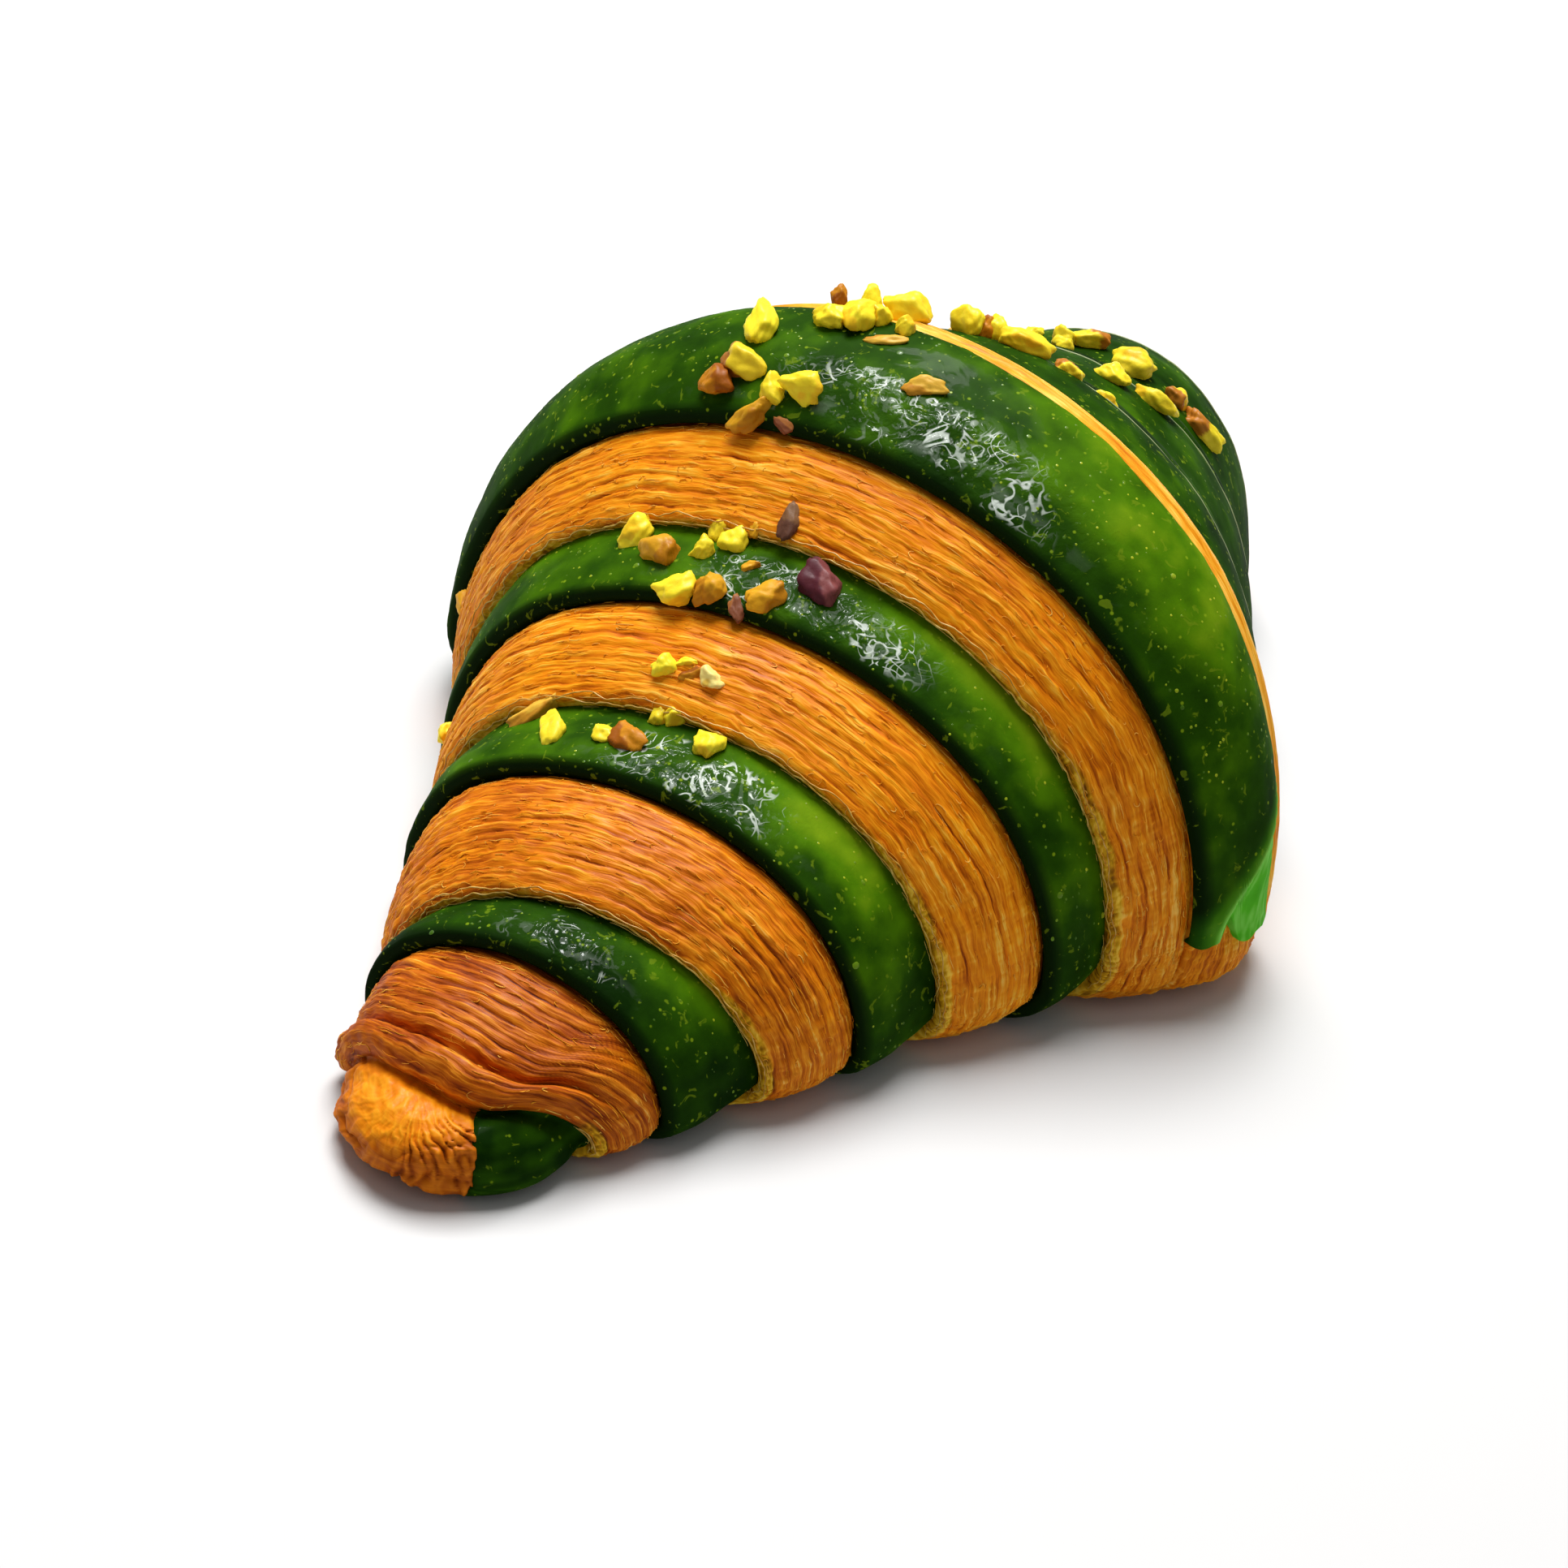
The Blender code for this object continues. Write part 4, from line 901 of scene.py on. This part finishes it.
def fibre_line(draw, index, band):
    """Shares and angles along one fibre: a gentle wave or a hooked curl."""
    width, radius = crest_width(band), band_radius(band)
    share = draw.uniform(0.04, 0.97)
    if draw.random() < 0.35:
        share = draw.choice((draw.uniform(0.0, 0.07), draw.uniform(0.9, 0.985)))
    start = draw.uniform(-8, 172)
    length = math.degrees(draw.uniform(0.6, 2.8) / radius)
    steps = max(7, int(math.radians(length) * radius / FIBRE_PITCH))
    angle = np.radians(np.linspace(start, start + length, steps))
    sway = draw.uniform(0.04, 0.16)
    share_line = share + sway * noise(angle * radius / 1.1, index * 1.7, 61) / width
    if draw.random() < HOOKED_FIBRES:
        bend = np.radians(np.linspace(0.0, draw.uniform(70, 190), steps) + draw.uniform(0, 360))
        size = draw.uniform(0.10, 0.28)
        share_line = share + size * np.cos(bend) / width
        angle = math.radians(start) + draw.uniform(1.4, 3.2) * size * np.sin(bend) / radius
    return np.clip(share_line, 0.005, 0.99), angle


def fibres(material):
    """Loose threads of crust that lie along the layers."""
    draw = random.Random(FIBRE_SEED)
    batch = Batch()
    for band, number in zip(NEAR_DOUGH, FIBRE_COUNTS):
        for index in range(number):
            share_line, angle = fibre_line(draw, index, band)
            height = dough_detail(band, share_line, angle)[0]
            hover = 0.14 * np.abs(noise(angle * band_radius(band) / 2.0, index * 2.9, 62))
            path = surface(band, share_line, angle, height - 0.10 + hover)
            points, faces = tube(path, draw.uniform(0.028, 0.055), FIBRE_SIDES)
            tone = draw.uniform(0.50, 0.88)
            batch.add(points, faces, np.tile([tone, draw.uniform(0.0, 0.4), 0.25], (len(points), 1)))
    batch.finish("fibres", material, "golden_crust")


def dome(centre, normal, size, height):
    """A small flattened blister: three rings and a top."""
    aside = unit(np.cross(normal, [0.3, 0.9, 0.1]))
    ring = ring_points(aside, np.cross(normal, aside), DOME_SIDES)
    rows = [centre + ring * size * out + normal * height * up for out, up in DOME_RINGS]
    points = np.concatenate(rows + [(centre + normal * height)[None]])
    top, last = len(points) - 1, (len(rows) - 1) * DOME_SIDES
    cap = [[last + k, last + (k + 1) % DOME_SIDES, top] for k in range(DOME_SIDES)]
    return points, ring_faces(len(rows), DOME_SIDES) + cap


def blisters(material):
    """Small blisters and specks on the green skin."""
    draw = random.Random(BLISTER_SEED)
    batch = Batch()
    for band, number in BLISTER_COUNTS:
        for index in range(number):
            share = draw.uniform(0.1, 0.95)
            degrees = draw.uniform(20 if band == MIDDLE_BAND else -8, 188)
            angle = np.array(math.radians(degrees))
            detail, look = skin_detail(band, np.array(share), angle)
            centre = surface(band, share, angle, detail[0])
            normal = hull_normal(band_x(band, share, angle), angle)
            size = 0.07 + 0.09 * draw.random()
            if draw.random() < 0.07:
                size += 0.22 * draw.random()
            points, faces = dome(centre, normal, size, size * draw.uniform(0.08, 0.22))
            lighter = look[0, 0] * 0.7 + draw.choice((0.12, 0.2, 0.35, 0.6))
            batch.add(points, faces, np.tile([min(lighter, 1.0), 0.0, 0.0], (len(points), 1)))
    batch.finish("blisters", material, "green_skin")


# ---------------------------------------------------------------- nuts

def place_frame(x, degrees):
    """Point, outward normal and lengthwise direction of the finished surface."""
    angle = np.array(math.radians(degrees))
    edges = [float(edge_x(edge, angle)) for edge in range(len(EDGES) + 3)]
    band = max(edge for edge in range(len(edges) - 1) if edges[edge] <= x)
    share = (x - edges[band]) / (edges[band + 1] - edges[band])
    along = hull(np.array(x + 0.5), angle) - hull(np.array(x - 0.5), angle)
    return surface(band, share, angle), hull_normal(np.array(x), angle), unit(along)


def sphere_points(level):
    """Points and triangles of a ball of radius 1."""
    made = bmesh.new()
    bmesh.ops.create_icosphere(made, subdivisions=level, radius=1.0)
    made.verts.ensure_lookup_table()
    points = np.array([vert.co[:] for vert in made.verts])
    faces = [[vert.index for vert in face.verts] for face in made.faces]
    made.free()
    return unit(points), faces


def any_direction(draw, upright=1.0):
    """A random direction; a smaller upright value keeps it flatter."""
    return unit(np.array([draw.gauss(0, 1), draw.gauss(0, 1), draw.gauss(0, upright)]))


def chunk(draw, sphere, length, width, thickness):
    """A broken kernel: a ball cut by random planes, with softened edges and a few dents."""
    planes = []
    for cut in range(NUT_CUTS):
        planes.append((any_direction(draw), draw.uniform(0.62, 0.98)))
    total = np.exp(-NUT_SOFTNESS * np.full(len(sphere), 1.2))
    for direction, distance in planes:
        facing = sphere @ direction
        hit = np.where(facing > 0.08, distance / np.maximum(facing, 0.08), 9.0)
        total = total + np.exp(-NUT_SOFTNESS * np.minimum(hit, 9.0))
    reach = -np.log(total) / NUT_SOFTNESS + 0.14
    for dent in range(NUT_DENTS):
        direction = any_direction(draw, 0.7)
        reach = reach - draw.uniform(0.04, 0.15) * np.exp((sphere @ direction - 1) / 0.07)
    points = sphere * reach[:, None]
    x, y, z = points.T
    rough = noise(x * 2.6 + 9 * draw.random(), y * 2.6 + z * 1.9, 71)
    lobes = noise(x * 1.3 + 9 * draw.random(), y * 1.5 - z * 1.1, 73)
    points = points * (1 + 0.10 * rough + 0.16 * lobes)[:, None]
    bend, taper = draw.uniform(-0.22, 0.22), draw.uniform(-0.22, 0.22)
    points[:, 1] = points[:, 1] * (1 + taper * points[:, 0]) + bend * (points[:, 0] ** 2 - 0.4)
    return points * np.array([length, width, thickness]) / 2


def nut_colours(draw, sphere, local, kind, index):
    """Colours of one nut: flesh, and husk on the side that it covers."""
    flesh, husk, covered = NUT_COLOURS[kind]
    where = sphere @ any_direction(draw, 0.6)
    where = where + 0.35 * noise(local[:, 0] * 1.1, local[:, 1] * 1.1 + index, 72)
    husky = smooth_step(where, 1 - 2 * covered - 0.08, 1 - 2 * covered + 0.08)[:, None]
    colour = np.array(flesh) * (1 - husky) + np.array(husk) * husky
    return np.clip(colour * draw.uniform(0.9, 1.08), 0, 1)


def chopped_nuts(materials):
    """All the nuts, one piece for each colour group."""
    sphere, faces = sphere_points(4)
    groups = {name: Batch() for name in materials}
    for index, (x, degrees, length, width, thickness, turn, kind) in enumerate(NUTS):
        draw = random.Random(NUT_SEED + index)
        point, normal, along = place_frame(x, degrees)
        turn = math.radians(turn)
        long_side = math.cos(turn) * along + math.sin(turn) * np.cross(normal, along)
        sides = np.stack([long_side, np.cross(normal, long_side), normal])
        centre = point + normal * (thickness / 2 - NUT_SINK)
        local = chunk(draw, sphere, length, width, thickness)
        colours = nut_colours(draw, sphere, local, kind, index)
        groups["brown" if kind in BROWN_KINDS else "yellow"].add(centre + local @ sides, faces, colours)
    for name, batch in groups.items():
        batch.finish("nuts_" + name, materials[name], name + "_nut")


# ---------------------------------------------------------------- materials

class Surface:
    """One material. Its look is the mesh's own masks; methods take and give sockets or numbers."""

    def __init__(self, name, roughness, coat, coat_roughness, subsurface, specular):
        self.material = bpy.data.materials.new(name)
        self.material.use_nodes = True
        self.tree = self.material.node_tree
        self.shader = self.tree.nodes["Principled BSDF"].inputs
        settings = {"Roughness": roughness, "Specular IOR Level": specular, "Coat Weight": coat,
                    "Coat Roughness": coat_roughness, "Subsurface Weight": subsurface,
                    "Subsurface Radius": (1.0, 0.45, 0.12), "Subsurface Scale": 0.0012}
        for key, value in settings.items():
            self.shader[key].default_value = value
        look = self.node("VertexColor", {}, layer_name="look").outputs
        self.look, self.alpha = look["Color"], look["Alpha"]
        self.masks = self.node("SeparateColor", {0: self.look}).outputs
        self.space = self.node("TexCoord", {}).outputs["Object"]

    def link(self, value, socket):
        if isinstance(value, bpy.types.NodeSocket):
            self.tree.links.new(value, socket)
        elif socket.type == "RGBA":
            socket.default_value = (*value, 1.0)
        else:
            socket.default_value = value

    def node(self, kind, inputs, **settings):
        made = self.tree.nodes.new("ShaderNode" + kind)
        for key, value in settings.items():
            setattr(made, key, value)
        for key, value in inputs.items():
            self.link(value, made.inputs[key])
        return made

    def maths(self, operation, first, second=0.0):
        return self.node("Math", {0: first, 1: second}, operation=operation).outputs[0]

    def plus(self, first, second):
        return self.maths("ADD", first, second)

    def times(self, *factors):
        result = factors[0]
        for factor in factors[1:]:
            result = self.maths("MULTIPLY", result, factor)
        return result

    def ramp(self, value, stops):
        made = self.node("ValToRGB", {0: value})
        elements = made.color_ramp.elements
        while len(elements) < len(stops):
            elements.new(0.5)
        for element, (place, colour) in zip(elements, stops):
            element.position = place
            element.color = (*colour, 1.0)
        return made.outputs[0]

    def mix(self, factor, first, second, blend="MIX"):
        sockets = {0: factor, 6: first, 7: second}
        return self.node("Mix", sockets, data_type="RGBA", blend_type=blend).outputs[2]

    def bump(self, height, strength, distance, target="Normal"):
        inputs = {"Strength": strength, "Distance": distance, "Height": height}
        self.link(self.node("Bump", inputs).outputs[0], self.shader[target])

    def solid_noise(self, scale, detail=3.0, distortion=0.0):
        """Noise in the object's own space."""
        inputs = {"Vector": self.space, "Scale": scale, "Detail": detail, "Roughness": 0.55,
                  "Distortion": distortion}
        return self.node("TexNoise", inputs).outputs["Fac"]

    def layer_noise(self, scale, stretch):
        """Noise drawn out along the layers, from the band's own coordinates, with short crimps."""
        band = self.node("UVMap", {}, uv_map="band").outputs[0]
        wave = self.node("TexNoise", {"Vector": band, "Scale": 11.0, "Detail": 2.0, "Roughness": 0.6})
        push = {0: wave.outputs["Color"], 1: (CRIMP, CRIMP, 0.0), 2: band}
        crimped = self.node("VectorMath", push, operation="MULTIPLY_ADD").outputs[0]
        stretched = self.node("Mapping", {"Vector": crimped, "Scale": (scale, scale / stretch, 1.0)})
        inputs = {"Vector": stretched.outputs[0], "Scale": 1.0, "Detail": 2.0, "Roughness": 0.6}
        return self.node("TexNoise", inputs).outputs["Fac"]

    def spots(self, value, low, high):
        """0 where a value is below low, 1 where it is above high."""
        inputs = {"Value": value, "From Min": low, "From Max": high}
        return self.node("MapRange", inputs, interpolation_type="SMOOTHSTEP").outputs["Result"]

    def crests(self, value, sharpness=9.0):
        """Thin crests where a noise crosses its middle."""
        away = self.maths("ABSOLUTE", self.maths("SUBTRACT", value, 0.5))
        return self.maths("SUBTRACT", 1.0, self.maths("MINIMUM", self.times(away, sharpness), 1.0))

    def finish(self, colour):
        self.link(colour, self.shader["Base Color"])
        return self.material


def crust_material(name, grain_share):
    """Baked dough, by tone, browning and paleness, olive where the look's alpha is low."""
    s = Surface(name, 0.5, 0.02, 0.2, 0.06, 0.05)
    fibril = s.crests(s.layer_noise(34.0, 22.0))
    strand = s.crests(s.layer_noise(15.0, 26.0))
    grain = s.plus(s.times(fibril, 0.24 * grain_share), s.times(strand, 0.22 * grain_share))
    grain = s.maths("SUBTRACT", grain, 0.13 * grain_share)
    s.bump(grain, 0.7, 0.00010)
    tone = s.plus(s.masks[0], grain)
    colour = s.mix(s.masks[1], s.ramp(tone, GOLDEN), s.ramp(tone, BROWNED))
    colour = s.mix(s.masks[2], colour, s.ramp(tone, LIGHT))
    return s.finish(s.mix(s.alpha, s.ramp(tone, OLIVE), colour))


def skin_base(s, light, rim):
    """Tone and colour of the green skin under its glaze, with painted shade at the rim and light specks."""
    tone = s.plus(light, s.times(s.maths("SUBTRACT", s.solid_noise(260.0, 4.0), 0.5), 0.6))
    # Painted shade: the rolled rim goes near black where it curls under.
    dark = s.ramp(rim, ((0.74, BLACK), (0.97, WHITE)))
    colour = s.mix(dark, s.ramp(tone, GREEN), (0.004, 0.014, 0.0015))
    cells = s.node("TexVoronoi", {"Vector": s.space, "Scale": 880.0}).outputs
    speck = s.ramp(cells["Distance"], ((0.0, WHITE), (0.10, WHITE), (0.18, BLACK)))
    pick = s.node("SeparateColor", {0: cells["Color"]}).outputs[0]
    mask = s.times(s.maths("GREATER_THAN", pick, 0.60), speck, 0.75)
    return tone, s.mix(mask, colour, (0.22, 0.34, 0.010))


def painted_highlight_lines(s, zone):
    """Painted highlights: a pattern of pale curly lines painted into the colour where the glaze is glossy."""
    curls = s.spots(s.crests(s.solid_noise(260.0, 0.6, 2.0), 24.0), 0.25, 0.75)
    loops = s.spots(s.crests(s.solid_noise(450.0, 0.5, 1.5), 18.0), 0.35, 0.80)
    patches = s.spots(s.solid_noise(125.0, 1.0, 0.5), 0.47, 0.54)
    gaps = s.spots(s.solid_noise(700.0, 1.0), 0.40, 0.48)
    lines = s.maths("MAXIMUM", curls, s.times(loops, 0.6))
    return s.times(lines, patches, gaps, s.spots(zone, 0.25, 0.60), 0.92)


def skin_relief(s, zone):
    """Fine bumps of the skin, a wrinkled coat over them, and more gloss in the glaze."""
    fine = s.plus(s.solid_noise(1100.0, 2.0, 1.2), s.times(s.solid_noise(520.0, 1.0, 0.8), 1.5))
    s.bump(s.times(fine, s.plus(zone, 0.15)), 1.0, 0.00012)
    film = s.plus(s.solid_noise(330.0, 1.2, 2.0), s.times(s.solid_noise(760.0, 1.0, 1.0), 0.3))
    s.bump(s.times(film, s.plus(zone, 0.06)), 1.0, 0.0006, "Coat Normal")
    s.link(s.plus(s.times(zone, 0.10), 0.01), s.shader["Coat Weight"])


def skin_material():
    """Green skin, by lightness, glaze and rim, with painted highlights, sheen and shade; raw bright green
    where the look's alpha is low.
    """
    s = Surface("green_skin", 0.6, 0.25, 0.09, 0.0, 0.01)
    light, zone, rim = s.masks
    tone, colour = skin_base(s, light, rim)
    # Painted sheen: grey patches in a band just above the dark rim, in the glossy zone, painted into the
    # colour.
    sheen_band = s.ramp(rim, ((0.10, BLACK), (0.30, WHITE), (0.5, (0.8, 0.8, 0.8)), (0.66, BLACK)))
    sheen_patches = s.spots(s.solid_noise(420.0, 6.0, 0.6), 0.52, 0.58)
    colour = s.mix(s.times(sheen_band, sheen_patches, zone, 0.55), colour, (0.16, 0.20, 0.15))
    # Painted highlights: pale curly lines mixed into the colour in the glossy zone.
    colour = s.mix(painted_highlight_lines(s, zone), colour, (0.62, 0.68, 0.60))
    flecks = s.spots(s.solid_noise(900.0, 3.0, 0.8), 0.62, 0.68)
    colour = s.mix(s.times(flecks, 0.55), colour, (0.16, 0.25, 0.008))
    skin_relief(s, zone)
    return s.finish(s.mix(s.alpha, s.ramp(tone, RAW), colour))


def flake_material():
    """Thin crust, from golden to olive by the look's second mask."""
    s = Surface("crust_flake", 0.42, 0.15, 0.25, 0.08, 0.3)
    tone, kind = s.masks[0], s.masks[1]
    return s.finish(s.mix(kind, s.ramp(tone, FLAKE_GOLDEN), s.ramp(tone, FLAKE_OLIVE)))


def tone_material(name, coat, coat_roughness, stops):
    """A plain material whose colour follows the look's first mask."""
    s = Surface(name, 0.5, coat, coat_roughness, 0.0, 0.1)
    return s.finish(s.ramp(s.masks[0], stops))


def nut_material(name, roughness):
    s = Surface(name, roughness, 0.03, 0.25, 0.03, 0.08)
    mottle = s.solid_noise(1400.0, 4.0)
    s.bump(mottle, 0.35, 0.0002)
    return s.finish(s.mix(1.0, s.look, s.ramp(mottle, NUT_MOTTLE), "MULTIPLY"))


# ---------------------------------------------------------------- stage

def make_floor():
    material = bpy.data.materials.new("floor")
    material.use_nodes = True
    shader = material.node_tree.nodes["Principled BSDF"]
    shader.inputs["Base Color"].default_value = FLOOR_COLOUR
    shader.inputs["Roughness"].default_value = 0.7
    mesh = bpy.data.meshes.new("floor")
    corners = [(FLOOR_HALF * x, FLOOR_HALF * y, 0) for x, y in ((-1, -1), (1, -1), (1, 1), (-1, 1))]
    mesh.from_pydata(corners, [], [(0, 1, 2, 3)])
    mesh.materials.append(material)
    floor = add_object("floor", mesh)
    floor.location.z = cad_low[2] - FLOOR_GAP


def add_light(name, direction, distance, size, power):
    """A square lamp that looks at the croissant from a direction, in metres and watts."""
    lamp = bpy.data.lights.new(name, "AREA")
    lamp.shape = "RECTANGLE"
    lamp.size = lamp.size_y = size
    lamp.energy = power
    made = add_object(name, lamp)
    made.location = tuple(unit(np.array(direction)) * distance)
    made.rotation_mode = "QUATERNION"
    made.rotation_quaternion = (made.location - Vector(LAMP_TARGET)).to_track_quat("Z", "Y")
    return made


def make_lights():
    world = bpy.data.worlds.new("studio")
    world.use_nodes = True
    sky = world.node_tree.nodes["Background"].inputs
    sky["Color"].default_value = (1, 1, 1, 1)
    sky["Strength"].default_value = SKY_STRENGTH
    bpy.context.scene.world = world
    add_light("overhead", *OVERHEAD)
    gleam = add_light("gleam", *GLEAM)
    gleam.visible_diffuse = False


def make_camera():
    """The photograph's camera: place, direction, roll and focal length."""
    e, a, roll = (math.radians(v) for v in (CAMERA_ELEVATION, CAMERA_AZIMUTH, CAMERA_ROLL))
    back = np.array([math.sin(a) * math.cos(e), -math.cos(a) * math.cos(e), math.sin(e)])
    level = np.array([math.cos(a), math.sin(a), 0.0])
    lift = np.cross(back, level)
    right = math.cos(roll) * level + math.sin(roll) * lift
    up = -math.sin(roll) * level + math.cos(roll) * lift
    place = (np.array(CAMERA_PLACE) - ORIGIN) * MM
    data = bpy.data.cameras.new("camera")
    data.sensor_width = SENSOR
    data.lens = FOCAL_PIXELS / PHOTO_PIXELS * SENSOR
    data.clip_start, data.clip_end = 0.01, 20.0
    camera = add_object("camera", data)
    rows = [[right[k], up[k], back[k], place[k]] for k in range(3)] + [[0, 0, 0, 1]]
    camera.matrix_world = Matrix(rows)
    bpy.context.scene.camera = camera


def main():
    make_camera()
    crust, skin = crust_material("golden_crust", 1.0), skin_material()
    tip_crust = crust_material("tip_crust", 0.3)
    near_knob(tip_crust)
    for band in NEAR_DOUGH:
        dough_band(band, PITCH, ROUND_PITCH, crust)
    dough_band(MIDDLE_BAND + 1, FAR_PITCH, FAR_ROUND_PITCH, crust)
    far_tip(tip_crust)
    for band in SKIN_RINGS:
        skin_band(band, skin)
    middle_skin(skin)
    under_tail(crust)
    knob_patch(skin)
    edge_threads(flake_material())
    crease_lines(tone_material("skin_crease", 0.1, 0.2, CREASE_TONES))
    fibres(crust)
    blisters(tone_material("skin_blister", 0.15, 0.12, BLISTER_TONES))
    chopped_nuts({"yellow": nut_material("yellow_nut", 0.42), "brown": nut_material("brown_nut", 0.5)})
    make_floor()
    make_lights()
    bpy.context.scene.view_settings.view_transform = "Standard"


main()
